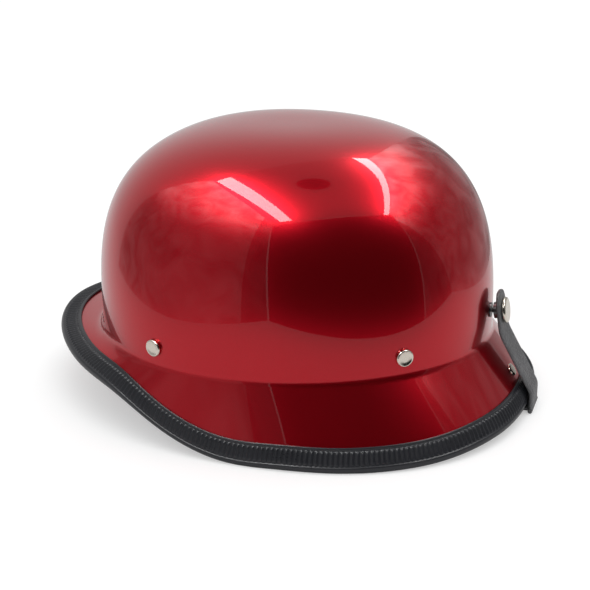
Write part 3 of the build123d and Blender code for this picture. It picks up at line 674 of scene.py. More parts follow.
def patterned(name, pattern, tones, rough=None, depth=None, tone_pattern=None, **constants):
    """Material with two tones and two roughnesses mixed by a pattern's mask, and a bump by its height.

    Depth is the bump's, in metres. The tones can follow a pattern of their own.
    """
    made, tree, shader = material(name, **constants)
    mask, height = pattern(tree)
    low, high = [(*tone, 1.0) for tone in tones]
    mix = node(tree, "Mix", {0: tone_pattern(tree)[0] if tone_pattern else mask, 6: low, 7: high},
               data_type="RGBA")
    tree.links.new(mix.outputs[2], shader.inputs["Base Color"])
    if rough:
        spread = node(tree, "MapRange", {"Value": mask, "To Min": rough[0], "To Max": rough[1]})
        tree.links.new(spread.outputs["Result"], shader.inputs["Roughness"])
    if depth:
        bump = node(tree, "Bump", {"Height": height, "Distance": depth, "Strength": 1.0})
        tree.links.new(bump.outputs["Normal"], shader.inputs["Normal"])
    return made


def shades(tone, low, high=1.0):
    """Two shades of a tone: each of its values times a share."""
    return [tuple(value * part for value in tone) for part in (low, high)]


def make_finishes(finish):
    """All finishes by name. Grain takes its fine scale, its coarse scale and the fine part's share."""
    grain, weave = grain_group(), weave_group()
    lacquer = {"metallic": 0.9, "coat_weight": 1.0, "coat_roughness": 0.015, "coat_ior": 1.37}
    brushed = {"sheen_weight": 0.35, "sheen_roughness": 0.4, "roughness": 0.85}
    return {
        "candy": patterned("candy_lacquer", shared(grain, 2600, 9, 0.75), (finish.candy_deep, finish.candy),
                           (0.31, 0.27), **lacquer),
        "rubber": patterned("trim_rubber", shared(grain, 900, 40, 0.5), shades(finish.rubber, 0.7),
                            (0.26, 0.38), 0.00005, specular_ior_level=0.5),
        "leather": patterned("strap_leather", cells(900, "SMOOTH_F1"), shades(finish.leather, 0.35),
                             (0.3, 0.6), 0.0007, shared(grain, 1500, 60, 0.35), specular_ior_level=0.55),
        "nickel": patterned("bright_nickel", shared(grain, 1200, 120, 0.4), shades(finish.nickel, 0.9),
                            (0.16, 0.26), metallic=1.0),
        "steel": patterned("bright_steel", shared(grain, 1200, 120, 0.4), shades(finish.steel, 0.9),
                           (0.2, 0.34), metallic=1.0),
        "dark_steel": patterned("dark_steel", shared(grain, 1500, 150, 0.5), shades(finish.steel, 0.18, 0.3),
                                (0.3, 0.42), metallic=1.0),
        # The webbing's tone drops to half of its colour in the weave's hollows, because its mask is its
        # height: painted shade.
        "webbing": patterned("strap_webbing", shared(weave, 0.0016), shades(finish.webbing, 0.5),
                             (0.62, 0.75), 0.00025, specular_ior_level=0.4),
        # The foam's tone falls from 1.0 to 0.45 of its colour towards the bead edges, which the bump sinks:
        # painted shade between the beads.
        "foam": patterned("liner_foam", cells(320, "F1"), shades(finish.foam, 1.0, 0.45),
                          (0.55, 0.8), -0.0004, specular_ior_level=0.35),
        "cloth": patterned("pad_cloth", shared(grain, 1400, 18, 0.6), shades(finish.cloth, 0.6),
                           None, 0.0003, **brushed),
    }


FINISH = {}


def dress(piece, finish, body, *replaces):
    """Give a piece its finish and slot, the body it moves with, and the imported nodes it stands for."""
    if not len(piece.data.polygons):
        raise RuntimeError(piece.name + " has no faces")
    piece.data.materials.append(FINISH[finish])
    if body:
        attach(piece, body)
    if replaces:
        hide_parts(*replaces)


# Ribbons, pads and small parts


FILLET_STEPS = 12


def filleted(corners, radii):
    """Path through corners with an arc of its own radius in each inner one.

    An arc's point is its centre + (sin((1 - t) w) times its start + sin(t w) times its end) / sin w, where w
    is the arc's opening.
    """
    corners = [np.asarray(corner, float) for corner in corners]
    t = np.linspace(0, 1, FILLET_STEPS)[:, None]
    path = [corners[0]]
    for before, at, after, radius in zip(corners, corners[1:], corners[2:], radii):
        back, on = unit(before - at), unit(after - at)
        half = np.arccos(np.clip(np.dot(back, on), -1, 1)) / 2
        centre = unit(back + on) * radius / np.sin(half)
        start, end = back * radius / np.tan(half) - centre, on * radius / np.tan(half) - centre
        w = np.arccos(np.clip(np.dot(start, end) / radius**2, -1, 1))
        path.extend(at + centre + (np.sin((1 - t) * w) * start + np.sin(t * w) * end) / np.sin(w))
    path.append(corners[-1])
    return np.array(path)


def arc(centre, radius, first, last, steps=14):
    """Points on a circle from one angle to another, in degrees."""
    t = np.radians(np.linspace(first, last, steps))
    return np.asarray(centre) + radius * np.stack([np.cos(t), np.sin(t)], -1)


def in_plane(path, origin, right, up):
    """Points in space of a flat path: origin + its first value times right + its second times up."""
    return origin + path[:, :1] * right + path[:, 1:] * up


def rolled_rim(rim, rise, part, first, last, steps):
    """Rounded rim of a cap: an arc from one angle to another whose radius is a part of the cap's rise."""
    bulge = rise * part
    return arc((rim - bulge, rise - bulge), bulge, first, last, steps)


# A strap rivet's face and the press stud's: parts of the rim's radius and of the rise
RIVET_FACE = np.array([(0, 0.8), (0.35, 0.8), (0.68, 0.82), (0.76, 0.93)])
SNAP_FACE = np.array([(0, 0.98), (0.5, 0.985)])
# Their rounded rims: radius as a part of the rise, first and last angle, and steps
RIVET_RIM, SNAP_RIM = (0.5, 70, -20, 10), (0.52, 88, -25, 12)
# Where their undersides start, as parts of the rim's radius
RIVET_UNDER, SNAP_UNDER = 0.93, 0.9
# A clinched tail's straight side, as a part of its thickness, and the radius of its end, as a part of its own
TAIL_SIDE, TAIL_END = 0.7, 0.84


def rivet_profile(parts):
    """Profile of a strap rivet from the middle of its face: disc, rounded rim, shank and clinched tail."""
    rim, rise, shank = parts.rivet_head / 2, parts.rivet_rise, parts.rivet_shank / 2
    tail, depth, end = parts.rivet_tail / 2, -parts.rivet_depth, -parts.rivet_depth - parts.tail_rise
    foot = [(rim * RIVET_UNDER, 0), (shank, 0), (shank, depth), (tail, depth)]
    low = [(tail, depth - parts.tail_rise * TAIL_SIDE), (tail * TAIL_END, end), (0, end)]
    return np.concatenate([RIVET_FACE * (rim, rise), rolled_rim(rim, rise, *RIVET_RIM), foot, low])


def snap_profile(parts):
    """Profile of the press stud's cap from the middle of its face: low dome, rounded rim and shank."""
    rim, rise, shank = parts.snap_head / 2, parts.snap_rise, parts.snap_shank / 2
    depth = -parts.band_wall - parts.snap_burr
    foot = [(rim * SNAP_UNDER, 0), (shank, 0), (shank, depth), (0, depth)]
    return np.concatenate([SNAP_FACE * (rim, rise), rolled_rim(rim, rise, *SNAP_RIM), foot])


# Goggle strap


def nape_frame(shape):
    """Origin and directions of the upright plane through the nape: out to the rear, and up."""
    origin = np.array([0, shape.bowl_middle + shape.bowl_length / 2, 0])
    return origin, np.array([0, 1, 0]), np.array([0, 0, 1])


def strap_lines(shape, parts):
    """Middle lines of the goggle strap and of its fixed end in the nape's upright plane.

    The band runs straight along the press stud's lean, then straight down to its turn, and ends in its fold
    beside the trim. The fixed end goes under the trim, up behind its inner leg and along the skirt's slope.
    """
    rim, half = shape.trim_wall + shape.wall / 2, parts.band_wall / 2
    lean = np.array([-np.sin(parts.snap_tilt), np.cos(parts.snap_tilt)])
    stud = np.array([parts.snap_standoff, parts.snap_height])
    middle = np.array([shape.nape_reach - rim, rim - shape.rest_cut + shape.nape_lift])
    run = middle - (0, shape.crease_height)
    slope = np.arctan2(run[1], run[0]) + np.arcsin(shape.wall / 2 / np.hypot(*run))
    along, outward = np.array([[np.cos(slope), np.sin(slope)], [-np.sin(slope), np.cos(slope)]])
    fold = (middle[0] + rim + parts.band_gap + half, half + parts.band_gap)
    band_line = [stud + lean * ((height - parts.snap_height) / lean[1])
                 for height in (parts.band_top, parts.band_elbow)] + [(fold[0], parts.band_turn), fold]
    low_line = rim + parts.anchor_gap + half
    low = middle - outward * low_line
    high = middle - outward * (shape.wall / 2 + parts.anchor_standoff + half)
    floor = middle[1] - low_line
    anchor_line = [
        (fold[0] - parts.band_gap, floor),
        low + along * ((floor - low[1]) / along[1]),
        low - along * (shape.trim_leg + parts.anchor_lip),
        high - along * (shape.trim_leg + parts.anchor_step),
        high - along * parts.anchor_reach,
    ]
    bends = [low_line, parts.band_wall, parts.band_wall]
    return (band_line, [parts.elbow_bend, parts.turn_bend]), (anchor_line, bends), (stud, lean)


class HELMET_OT_finishes(bpy.types.Operator):
    """Make the finishes of all the pieces."""

    bl_idname = "helmet.finishes"
    bl_label = "Finishes"

    def execute(self, context):
        FINISH.update(make_finishes(context.scene.helmet_finish))
        return {"FINISHED"}


class HELMET_OT_shell(bpy.types.Operator):
    """Build the lacquered shell."""

    bl_idname = "helmet.shell"
    bl_label = "Shell"

    def execute(self, context):
        shape = context.scene.helmet_shape
        section = Section(shape, round_turn(context.scene.helmet_stage.columns))
        top = np.array([0, section.middle, shape.crown_height])
        piece = grid_piece("shell", section.place(shell_rows(section)), first_pole=top,
                           last_pole=top - (0, 0, shape.wall))
        dress(piece, "candy", "shell", "outer_shell")
        return {"FINISHED"}


class HELMET_OT_trim(bpy.types.Operator):
    """Build the ribbed edge trim."""

    bl_idname = "helmet.trim"
    bl_label = "Edge trim"

    def execute(self, context):
        shape = context.scene.helmet_shape
        angles, length = even_angles(shape, context.scene.helmet_stage.trim_columns)
        section = Section(shape, angles)
        run = round_turn(len(angles)) * round(length / shape.rib_pitch)
        piece = grid_piece("trim", section.place(trim_rows(section, run)), wrap_rows=True)
        dress(piece, "rubber", "shell", "edge_trim")
        return {"FINISHED"}


class HELMET_OT_rivets(bpy.types.Operator):
    """Build the strap rivets."""

    bl_idname = "helmet.rivets"
    bl_label = "Strap rivets"

    def execute(self, context):
        parts = context.scene.helmet_parts
        for name in ("front_left_rivet", "rear_left_rivet", "front_right_rivet", "rear_right_rivet"):
            piece = lathe(name + "_nickel", rivet_profile(parts), *rivet_frame(name, parts))
            dress(piece, "nickel", "shell", name)
        return {"FINISHED"}


def rivet_frame(name, parts):
    """Middle of a rivet's face and its outward direction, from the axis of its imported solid.

    The axis is the direction in which the solid's points spread least like the other two.
    """
    points = mesh_points(frame["nodes"][name])
    middle = points.mean(0)
    values, vectors = np.linalg.eigh(np.cov((points - middle).T))
    normal = vectors[:, np.argmax(np.abs(values - np.median(values)))]
    normal = unit(normal * (1, 1, 0))
    normal *= np.sign(normal @ middle)
    centre = (points.min(0) + points.max(0)) / 2
    centre[2] = parts.rivet_height
    return centre + normal * ((points @ normal).max() - parts.rivet_rise - centre @ normal), normal


def mesh_points(piece):
    """Vertices of an object as an array."""
    points = np.empty(len(piece.data.vertices) * 3, np.float32)
    piece.data.vertices.foreach_get("co", points)
    return points.reshape(-1, 3).astype(float)


class HELMET_OT_goggle_strap(bpy.types.Operator):
    """Build the goggle strap, its fixed end and its snap cap."""

    bl_idname = "helmet.goggle_strap"
    bl_label = "Goggle strap"

    def execute(self, context):
        shape, parts = context.scene.helmet_shape, context.scene.helmet_parts
        plane = nape_frame(shape)
        band_line, anchor_line, (stud, lean) = strap_lines(shape, parts)
        for name, course, width, body, packed in (
            ("goggle_strap_leather", band_line, parts.band_width, "goggle_band", "goggle_strap"),
            ("goggle_anchor_leather", anchor_line, parts.anchor_width, "shell", "goggle_strap_anchor"),
        ):
            path = in_plane(filleted(*course), *plane)
            piece = band(name, path, (1.0, 0, 0), width, parts.band_wall, round_start=body == "goggle_band")
            dress(piece, "leather", body, packed)
        piece = fold_roll("goggle_fold_leather", "goggle_strap_swing", parts.band_width, parts.band_wall / 2)
        dress(piece, "leather", "goggle_band")
        normal = np.array([0, lean[1], -lean[0]])
        place = in_plane(stud[None], *plane)[0] + normal * parts.band_wall / 2
        piece = lathe("goggle_snap_nickel", snap_profile(parts), place, normal)
        dress(piece, "nickel", "goggle_band", "goggle_snap_cap")
        return {"FINISHED"}


# Bends of a leg over the foam's edge and where the legs meet, and how far the side's leg goes on past that
FOAM_BEND, MEET_BEND, SIDE_END = 5 * MM, 30 * MM, 4 * MM
# Where a leg starts to twist from the shell's face into the yoke's plane, before its bend, and for how long
TWIST_START, TWIST_LENGTH = 3 * MM, 22 * MM
# Where the left tail's lap ends, short of the fold, and its bend behind the rings
LAP_END, LAP_BEND = 12 * MM, 2.2 * MM
# Step along a tail, how far the side's leg dips under the stem, and how far a lap lies on its tail, both in
# thicknesses
TAIL_STEP, DIP, LAP_RISE = 0.7 * MM, 0.95, 1.02


class HELMET_OT_webbing(bpy.types.Operator):
    """Build the chin webbing: a leg from each strap rivet to its yoke's stem, and the two tails."""

    bl_idname = "helmet.webbing"
    bl_label = "Chin webbing"

    def execute(self, context):
        parts = context.scene.helmet_parts
        width, wall = parts.webbing_width, parts.webbing_wall
        for side in ("left", "right"):
            yoke = yoke_frame(side, parts)
            hinge, x, y = yoke["origin"], yoke["x"], yoke["y"]
            for way in ("stem", "side"):
                rivet = yoke[way + "_rivet"]
                path, across = leg_path(yoke, rivet, way == "stem", parts)
                piece = band(side + "_" + way + "_webbing", path, across, width, wall)
                nodes = [rivet + "_strap_tab"] + ([side + "_chin_yoke"] if way == "stem" else [])
                dress(piece, "webbing", None, *nodes)
                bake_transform(piece)
            path = in_plane(tail_line(side, yoke["length"], parts), hinge + y * parts.tail_step, x, yoke["z"])
            piece = band(side + "_tail_webbing", path, y, width, wall, step=TAIL_STEP)
            dress(piece, "webbing", side + "_tail", side + "_chin_tail")
            piece = fold_roll(side + "_fold_webbing", side + "_tail_fold", width, wall + parts.fold_gap / 2)
            dress(piece, "webbing", side + "_tail")
        return {"FINISHED"}


def yoke_frame(side, parts):
    """Place and directions of a stowed yoke, from its hinge and from where its two legs leave the rivets.

    x runs down the yoke to its end, y along the hinge towards the stem's side, and z up from the webbing.
    """
    joint = JOINTS[side + "_yoke_swing"]
    origin, hinge = np.array(joint["pos_m"]), unit(joint["axis"])
    inward = np.cross(hinge, (0, 0, 1))
    inward *= -np.sign(inward[0] * origin[0])
    reach = (abs(origin[0]) - parts.yoke_inset) / abs(inward[0])
    drop = origin[2] - parts.yoke_clearance - parts.webbing_wall / 2
    slope = np.arctan2(drop, reach)
    x = inward * np.cos(slope) - np.array([0, 0, np.sin(slope)])
    z = inward * np.sin(slope) + np.array([0, 0, np.cos(slope)])
    order = ("front_", "rear_") if side == "left" else ("rear_", "front_")
    return {"origin": origin, "x": x, "y": np.cross(z, x), "z": z, "length": np.hypot(drop, reach),
            "stem_rivet": order[0] + side, "side_rivet": order[1] + side}


def leg_path(yoke, rivet, stem, parts):
    """Middle line of a leg of webbing and its width direction.

    It runs down behind its rivet, over the edge of the foam, then in the yoke's plane to where the legs meet.
    The stem's leg goes on to the yoke's end, and the other dips under it. The width direction turns by
    3 s^2 - 2 s^3 from the shell's face to the yoke's plane, where s goes from 0 to 1 along the twist.
    """
    place, normal = rivet_frame(rivet + "_rivet", parts)
    exit_point = place - normal * (parts.tab_depth + parts.webbing_wall / 2)
    top = exit_point + np.array([0, 0, parts.tab_rise])
    bend = np.append(exit_point[:2], yoke["origin"][2])
    axis = yoke["origin"] + yoke["y"] * parts.tail_step
    join = axis + yoke["x"] * yoke["length"] * parts.yoke_join
    if stem:
        end = axis + yoke["x"] * (yoke["length"] - parts.fold_gap)
        path = filleted([top, bend, join, end], [FOAM_BEND, MEET_BEND])
    else:
        join = join - yoke["z"] * parts.webbing_wall * DIP
        path = filleted([top, bend, join + unit(join - bend) * SIDE_END], [FOAM_BEND])
    flat = unit(np.cross(yoke["z"], np.gradient(path, axis=0)))
    tangent = np.cross((0, 0, 1), normal)
    tangent *= np.sign(tangent @ flat[-1])
    run = np.linalg.norm(path - bend, axis=1) * np.sign((path - bend) @ unit(join - bend))
    s = np.clip((run + TWIST_START) / TWIST_LENGTH, 0, 1)[:, None]
    turned = s * s * (3 - 2 * s)
    return path, tangent * (1 - turned) + flat * turned


def tail_line(side, length, parts):
    """Middle line of a tail in its upright plane, back over the stem from its fold.

    The left one goes round both rings' bars and down on itself, and the loose one is doubled back.
    """
    wall, gap = parts.webbing_wall, parts.fold_gap
    floor = wall + gap
    start = np.array([[length - gap, floor]])
    if side == "left":
        bore = parts.ring_wire / 2 + parts.ring_fit
        radius = bore + wall / 2
        lower = np.array([length - parts.left_tail, floor + bore + wall / 2])
        upper = lower + parts.ring_step
        lap = floor + wall * LAP_RISE
        down = filleted([upper + (radius, 0), (upper[0] + radius, lap), (length - LAP_END, lap)], [LAP_BEND])
        return np.concatenate([start, arc(lower, radius, 270, 135), arc(upper, radius, 135, 0), down[1:]])
    fold = np.array([length - parts.right_tail, floor + wall / 2 + gap / 2])
    turn = arc(fold, wall / 2 + gap / 2, 270, 90)
    return np.concatenate([start, turn, [[fold[0] + parts.right_lap, turn[-1, 1]]]])


RING_POINTS = 240


class HELMET_OT_rings(bpy.types.Operator):
    """Build the two D-rings."""

    bl_idname = "helmet.rings"
    bl_label = "D-rings"

    def execute(self, context):
        parts = context.scene.helmet_parts
        yoke = yoke_frame("left", parts)
        half, corner = parts.ring_half, parts.ring_corner
        outline = np.concatenate([
            arc((-corner, half - corner), corner, 0, 90),
            arc((-corner - parts.ring_side, 0), half, 90, 270, 60),
            arc((-corner, corner - half), corner, 270, 360),
        ])
        for name in ("lower", "upper"):
            bar = np.array(JOINTS[name + "_ring_swing"]["pos_m"])
            path = in_plane(outline, bar, yoke["x"], yoke["y"])
            path = np.concatenate([path, path[:1]])
            run = run_along(path)
            even = columns_at(np.linspace(0, run[-1], RING_POINTS, endpoint=False), run, path)
            piece = tube("d_ring_" + name + "_steel", even, parts.ring_wire / 2)
            dress(piece, "steel", name + "_ring", "d_ring_" + name)
        return {"FINISHED"}


# Middle and half width of each pad round the head, in degrees from the front
HEADBAND = {"front_pad": (0, 27.5), "rear_pad": (180, 25.5), "left_pad": (83, 39.5), "right_pad": (-83, 39.5)}
CROWN_SHARE = 0.97
# Piping round a pad's seam: parts of its size and of its thickness at the edge. Then its underside: parts of
# its size, and heights.
PIPING = [(1.004, 1.08), (1.018, 1.1), (1.03, 0.95), (1.03, 0.8), (1.016, 0.66), (1.0, 0.6), (0.995, 0.35)]
UNDERSIDE = [(0.985, 0.1 * MM), (0.96, 0), (0.6, 0), (0.2, 0)]
PAD_SIDES, FACE_RINGS, PAD_SHARE, NUDGE = 168, 30, 0.965, 1e-3
# Puckers: count, depth as a part of the thickness, then place and width as parts of the pad's size
PUCKERS, PUCKER_DEPTH, PUCKER_PLACE, PUCKER_WIDTH = 42, 0.07, 0.9, 0.06
# Powers of the face's rise from its seam
FACE_POWERS = (2.6, 0.6)


class HELMET_OT_pads(bpy.types.Operator):
    """Build the cloth-covered comfort pads inside the foam."""

    bl_idname = "helmet.pads"
    bl_label = "Comfort pads"

    def execute(self, context):
        shape, parts = context.scene.helmet_shape, context.scene.helmet_parts
        level, half_height = (parts.pad_low + parts.pad_high) / 2, (parts.pad_high - parts.pad_low) / 2
        low, high = np.array(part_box("crown_pad"))
        reach = (high - low) / 2 * CROWN_SHARE
        surfaces = {}
        for name, (middle, half) in HEADBAND.items():
            surfaces[name] = lambda u, v, middle=middle, half=half: wall_point(
                shape, parts, np.radians(middle + half * u), level + half_height * v)
        surfaces["crown_pad"] = lambda u, v: crown_point(shape, parts, u * reach[0], v * reach[1])
        for name, surface in surfaces.items():
            piece = pillow(name + "_cloth", surface, shape, parts, 2 if name == "crown_pad" else 4)
            dress(piece, "cloth", "shell", name)
        return {"FINISHED"}


def foam_face(shape, parts, angle):
    """Fullness of the foam's inner face, its radius at the belt by angle, and its rise above the belt."""
    inset = shape.wall + parts.liner_wall + parts.pad_gap
    radius = bowl_radius(shape, inset, angle.ravel()).reshape(angle.shape)
    return shape.crown_fullness, radius, shape.crown_height - shape.belt_height - inset


def wall_point(shape, parts, angle, height):
    """Point on the foam's inner face by angle and height: its radius times (1 - a^q)^(1/q).

    Here a is the height above the belt as a share of the rise.
    """
    q, radius, rise = foam_face(shape, parts, angle)
    above = np.clip((height - shape.belt_height) / rise, 0, 1)
    radius = radius * (1 - above**q) ** (1 / q)
    return np.stack([radius * np.sin(angle), shape.bowl_middle - radius * np.cos(angle), height], -1)


def crown_point(shape, parts, x, y):
    """Point on the foam's inner face over a place in plan: its rise times (1 - p^q)^(1/q).

    Here p is the distance from the middle as a share of the radius.
    """
    q, radius, rise = foam_face(shape, parts, np.arctan2(x, -y))
    height = shape.belt_height + rise * (1 - (np.hypot(x, y) / radius) ** q) ** (1 / q)
    return np.stack([x, shape.bowl_middle + y, height], -1)


def pillow(name, surface, shape, parts, fullness):
    """Crowned pad on a surface of two shares, u and v, from -1 to 1.

    Rings of a superellipse |u|^n + |v|^n = r^n run from the middle of the face to the seam and back under the
    pad. The face rises from the seam by (1 - r^2.6)^0.6, a bead of piping rounds the seam, and small puckers,
    a cosine round the pad that fades away from the seam, run across it.
    """
    theta = round_turn(PAD_SIDES)
    face_r = np.sin(np.linspace(0, np.pi / 2, FACE_RINGS)[1:]) ** 0.9
    edge, crown = parts.pad_edge, parts.pad_crown
    face_h = edge + (crown - edge) * np.maximum(1 - face_r ** FACE_POWERS[0], 0) ** FACE_POWERS[1]
    bead = [(size, edge * part) for size, part in PIPING] + UNDERSIDE
    table = np.concatenate([np.stack([face_r, face_h], -1), bead])
    r, h = table[:, :1] * PAD_SHARE, table[:, 1:]
    near_seam = np.exp(-(((r - PUCKER_PLACE) / PUCKER_WIDTH) ** 2))
    wave = 1 + PUCKER_DEPTH * np.cos(PUCKERS * theta) * near_seam
    u = r * power(np.cos(theta), 2 / fullness)
    v = r * power(np.sin(theta), 2 / fullness)
    base = surface(u, v)
    along, across = [surface(u + a, v + b) - surface(u - a, v - b) for a, b in ((NUDGE, 0), (0, NUDGE))]
    normal = unit(np.cross(along, across))
    heart = np.array([0, shape.bowl_middle, shape.belt_height])
    normal *= np.sign(np.einsum("ijk,ijk->ij", normal, heart - base))[..., None]
    middle = surface(np.zeros((1, 1)), np.zeros((1, 1)))[0, 0]
    top = middle + unit(normal[0].mean(0)) * crown
    return grid_piece(name, base + normal * (h * wave)[..., None], first_pole=top, last_pole=middle)


class HELMET_OT_dress(bpy.types.Operator):
    """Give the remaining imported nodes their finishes."""

    bl_idname = "helmet.dress"
    bl_label = "Packed nodes"

    def execute(self, context):
        for name, finish in PLAIN.items():
            if name not in frame["nodes"]:
                raise RuntimeError("no packed node named " + name)
            piece = frame["nodes"][name]
            piece.data.materials.clear()
            piece.data.materials.append(FINISH[finish])
        return {"FINISHED"}


PLAIN = {
    "impact_liner": "foam",
    "rivet_washers": "nickel",
    "goggle_snap_socket": "dark_steel",
    "goggle_snap_stud": "dark_steel",
    "goggle_strap_rivet": "nickel",
    "strap_snap_cap": "nickel",
}


class HELMET_OT_stage(bpy.types.Operator):
    """Set the floor, the light and the camera."""

    bl_idname = "helmet.stage"
    bl_label = "Stage"

    def execute(self, context):
        scene, stage = context.scene, context.scene.helmet_stage
        corners = np.array([(-1, -1, 0), (1, -1, 0), (1, 1, 0), (-1, 1, 0)]) * stage.floor_size / 2
        floor = put_mesh("floor", corners, [np.array([[0, 1, 2, 3]])])
        pale, tree, shader = material("floor_pale", base_color=tuple(stage.floor_tone), roughness=0.9,
                                      specular_ior_level=0.0, emission_color=(1, 1, 1))
        camera_ray = node(tree, "LightPath").outputs["Is Camera Ray"]
        lift = node(tree, "Math", {0: camera_ray, 1: stage.floor_lift}, operation="MULTIPLY")
        tree.links.new(lift.outputs[0], shader.inputs["Emission Strength"])
        floor.data.materials.append(pale)
        make_room(scene, stage)
        make_lamp(scene, stage)
        scene.camera = make_camera(scene, stage)
        scene.view_settings.view_transform = "Standard"
        cards = make_cards(stage)
        return {"FINISHED"}


def make_room(scene, stage):
    """World: white to the camera, the backdrop's grey to reflections, and an even light to all else."""
    world = bpy.data.worlds.new("studio")
    world.use_nodes = True
    scene.world = world
    tree = world.node_tree
    path = node(tree, "LightPath")
    light = (stage.room_light,) * 3 + (1.0,)
    for ray, other in (("Is Glossy Ray", (stage.backdrop,) * 3 + (1.0,)), ("Is Camera Ray", (1, 1, 1, 1))):
        light = node(tree, "Mix", {0: path.outputs[ray], 6: light, 7: other}, data_type="RGBA").outputs[2]
    tree.links.new(light, tree.nodes["Background"].inputs["Color"])


# Height from which a tent wall brightens towards the lamps, and how many times
GLOW_FROM, GLOW = 270 * MM, 9.0
# Noise of a tent wall's folds, and the shares of its light that the noise makes
FOLDS = {"Scale": 9.0, "Detail": 5.0, "Distortion": 1.5}
FOLD_LIGHT = {"From Min": 0.35, "From Max": 0.7, "To Min": 0.4, "To Max": 1.3}


def tent_panels(stage):
    """Brightness and corners of each panel of the tent: an opening, walls, ceiling, two lamps and seams.

    Corners are in millimetres: reach towards the camera, reach to the camera's left, and height.
    """
    top = stage.tent_height / MM
    lamps = top - 3
    lamp, wall, dark, seam = stage.lamp_light, stage.wall_light, 0.01, 0.8
    lens = 46 * np.stack([np.cos(round_turn(24)), np.sin(round_turn(24)), np.zeros(24)], 1)
    return {
        "tent_opening": (dark, [(388, 125, 2), (204, -280, 2), (250, -300, 392), (388, 135, 392)]),
        "tent_front": (0.35 * wall, [(205, -280, 2), (120, -467, 2), (340, -400, top), (250, -300, 392)]),
        "tent_flap": (wall, [(388, 135, 392), (250, -300, 392), (340, -400, top), (460, 150, top)]),
        "tent_left": (wall, [(-170, 560, 2), (325, 174, 2), (400, 186, top), (14, 235, top)]),
        "tent_fold": (0.3 * wall, [(325, 174, 2), (388, 125, 2), (470, 157, top), (400, 186, top)]),
        "tent_right": (wall, [(120, -467, 2), (-505, -184, 2), (-165, -160, top), (350, -400, top)]),
        "tent_ceiling": (0.45, [(14, 170, top), (450, 70, top), (330, -350, top), (-160, -115, top)]),
        "tent_lens": (2 * dark, np.array([102, -26, top - 2]) + lens),
        "tent_lamp_left": (lamp, [(8, 172, lamps), (450, 71, lamps), (466, 128, lamps), (26, 222, lamps)]),
        "tent_lamp_right": (lamp, [(-160, -115, lamps), (-170, -155, lamps), (39, -270, lamps),
                                   (340, -394, lamps), (329, -356, lamps), (27, -218, lamps)]),
        "seam_left": (seam, [(387, 125, 2), (385, 119, 2), (385, 129, 392), (387, 135, 392)]),
        "seam_right": (0.5, [(202, -280, 2), (204, -274, 2), (249, -294, 392), (247, -300, 392)]),
        "seam_top": (seam, [(386, 135, 389), (386, 135, 394), (248, -300, 394), (248, -300, 389)]),
        "table_front": (dark, [(1000, 1460, 1.5), (-800, -2500, 1.5), (3000, -2500, 1.5), (3000, 1460, 1.5)]),
    }


def cloth_glow(tree, shader, stage):
    """Folds of a tent wall, a noise between two shares of its light, times up to GLOW near the lamps."""
    place = node(tree, "TexCoord").outputs["Object"]
    folds = node(tree, "TexNoise", {"Vector": place, **FOLDS})
    spread = node(tree, "MapRange", {"Value": folds.outputs["Fac"], **FOLD_LIGHT})
    height = node(tree, "SeparateXYZ", {0: place}).outputs["Z"]
    near_lamp = node(tree, "MapRange", {"Value": height, "From Min": GLOW_FROM, "From Max": stage.tent_height,
                                        "To Min": 1.0, "To Max": GLOW}, interpolation_type="SMOOTHSTEP")
    glow = node(tree, "Math", {0: spread.outputs["Result"], 1: near_lamp.outputs["Result"]},
                operation="MULTIPLY")
    mix = node(tree, "Mix", {0: glow.outputs[0], 6: (0, 0, 0, 1), 7: (1, 1, 1, 1)}, data_type="RGBA",
               clamp_factor=False)
    tree.links.new(mix.outputs[2], shader.inputs["Emission Color"])


def make_cards(stage):
    """Tent of a product studio, seen only in reflections."""
    turn = np.radians(stage.azimuth)
    axes = np.array([(np.sin(turn), -np.cos(turn), 0), (-np.cos(turn), -np.sin(turn), 0), (0, 0, 1)])
    made = []
    for name, (strength, corners) in tent_panels(stage).items():
        card = put_mesh(name, np.array(corners, float) * MM @ axes, [np.arange(len(corners))[None]])
        tone, tree, shader = material(name, base_color=(0, 0, 0), roughness=1.0, specular_ior_level=0.0,
                                      emission_color=(1, 1, 1), emission_strength=strength)
        if name in ("tent_left", "tent_right", "tent_front", "tent_fold"):
            cloth_glow(tree, shader, stage)
        card.data.materials.append(tone)
        card.visible_camera = card.visible_diffuse = card.visible_shadow = card.visible_transmission = False
        made.append(card)
    return made


OVERHEAD_PLACE = (0.1, 0.1, 1.7)


def make_lamp(scene, stage):
    """Soft square lamp over the object, which reflections don't see."""
    light = bpy.data.lights.new("overhead", "AREA")
    light.shape = "SQUARE"
    light.size = stage.overhead_size
    light.energy = stage.overhead_power
    light.specular_factor = 0.0
    lamp = bpy.data.objects.new("overhead", light)
    lamp.location = OVERHEAD_PLACE
    lamp.visible_glossy = False
    scene.collection.objects.link(lamp)


# Camera's sensor in millimetres, and how near it sees, in metres
SENSOR_WIDTH, NEAR_CLIP = 36, 0.01


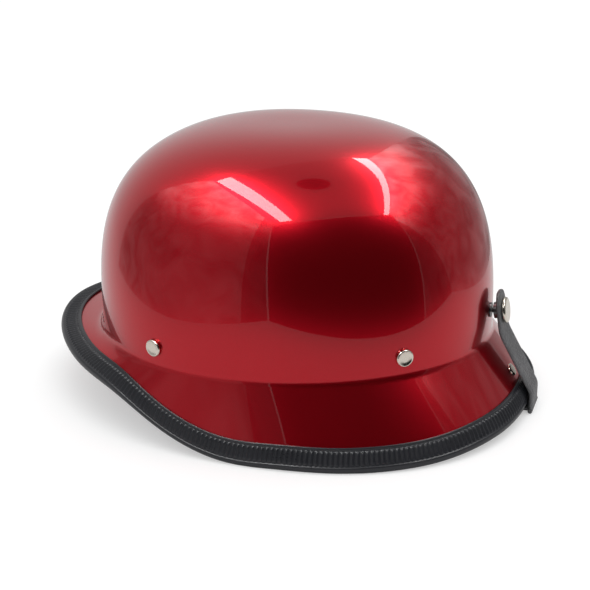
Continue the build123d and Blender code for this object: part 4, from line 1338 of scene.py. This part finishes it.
def make_camera(scene, stage):
    """Camera at the stage's angles, looking at its target.

    Back is (sin turn cos lift, -cos turn cos lift, sin lift), and the picture turns about it by the roll.
    """
    camera = bpy.data.cameras.new("camera")
    camera.lens, camera.sensor_width, camera.clip_start = stage.lens, SENSOR_WIDTH, NEAR_CLIP
    eye = bpy.data.objects.new("camera", camera)
    scene.collection.objects.link(eye)
    turn, lift, roll = np.radians((stage.azimuth, stage.elevation, stage.roll))
    back = np.array([np.sin(turn) * np.cos(lift), -np.cos(turn) * np.cos(lift), np.sin(lift)])
    right = unit(np.cross((0, 0, 1), back))
    upward = np.cross(back, right)
    rolled = np.array([(np.cos(roll), np.sin(roll)), (-np.sin(roll), np.cos(roll))])
    right, upward = rolled @ np.array([right, upward])
    turned = Matrix(np.stack([right, upward, back], 1).tolist())
    eye.matrix_world = Matrix.LocRotScale(np.array(stage.target) + back * stage.distance, turned, None)
    return eye


class HELMET_PT_build(bpy.types.Panel):
    """Sidebar list of the pieces and their sizes."""

    bl_idname = "HELMET_PT_build"
    bl_label = "Half shell helmet"
    bl_space_type = "VIEW_3D"
    bl_region_type = "UI"
    bl_category = "Helmet"

    def draw(self, context):
        for item in STEPS:
            self.layout.operator(item.bl_idname)
        for group in GROUPS:
            box = self.layout.box()
            values = getattr(context.scene, group)
            for key in values.bl_rna.properties.keys():
                if key not in ("rna_type", "name"):
                    box.prop(values, key)


GROUPS = {"helmet_shape": HelmetShape, "helmet_parts": HelmetParts, "helmet_finish": HelmetFinish,
          "helmet_stage": HelmetStage}
STEPS = (HELMET_OT_finishes, HELMET_OT_shell, HELMET_OT_trim, HELMET_OT_rivets, HELMET_OT_goggle_strap,
         HELMET_OT_webbing, HELMET_OT_rings, HELMET_OT_pads, HELMET_OT_dress, HELMET_OT_stage)
CLASSES = (*GROUPS.values(), *STEPS, HELMET_PT_build)


def register():
    """Register the classes, and give each scene its groups of values."""
    for item in CLASSES:
        bpy.utils.register_class(item)
    for name, group in GROUPS.items():
        setattr(bpy.types.Scene, name, PointerProperty(type=group))


def unregister():
    """Take back what register did, in reverse."""
    for name in GROUPS:
        delattr(bpy.types.Scene, name)
    for item in reversed(CLASSES):
        bpy.utils.unregister_class(item)


def main():
    """Build every piece, then the stage."""
    register()
    build = bpy.ops.helmet
    for step in (build.finishes, build.shell, build.trim, build.rivets, build.goggle_strap, build.webbing,
                 build.rings, build.pads, build.dress, build.stage):
        step()


if __name__ == "__main__":
    main()
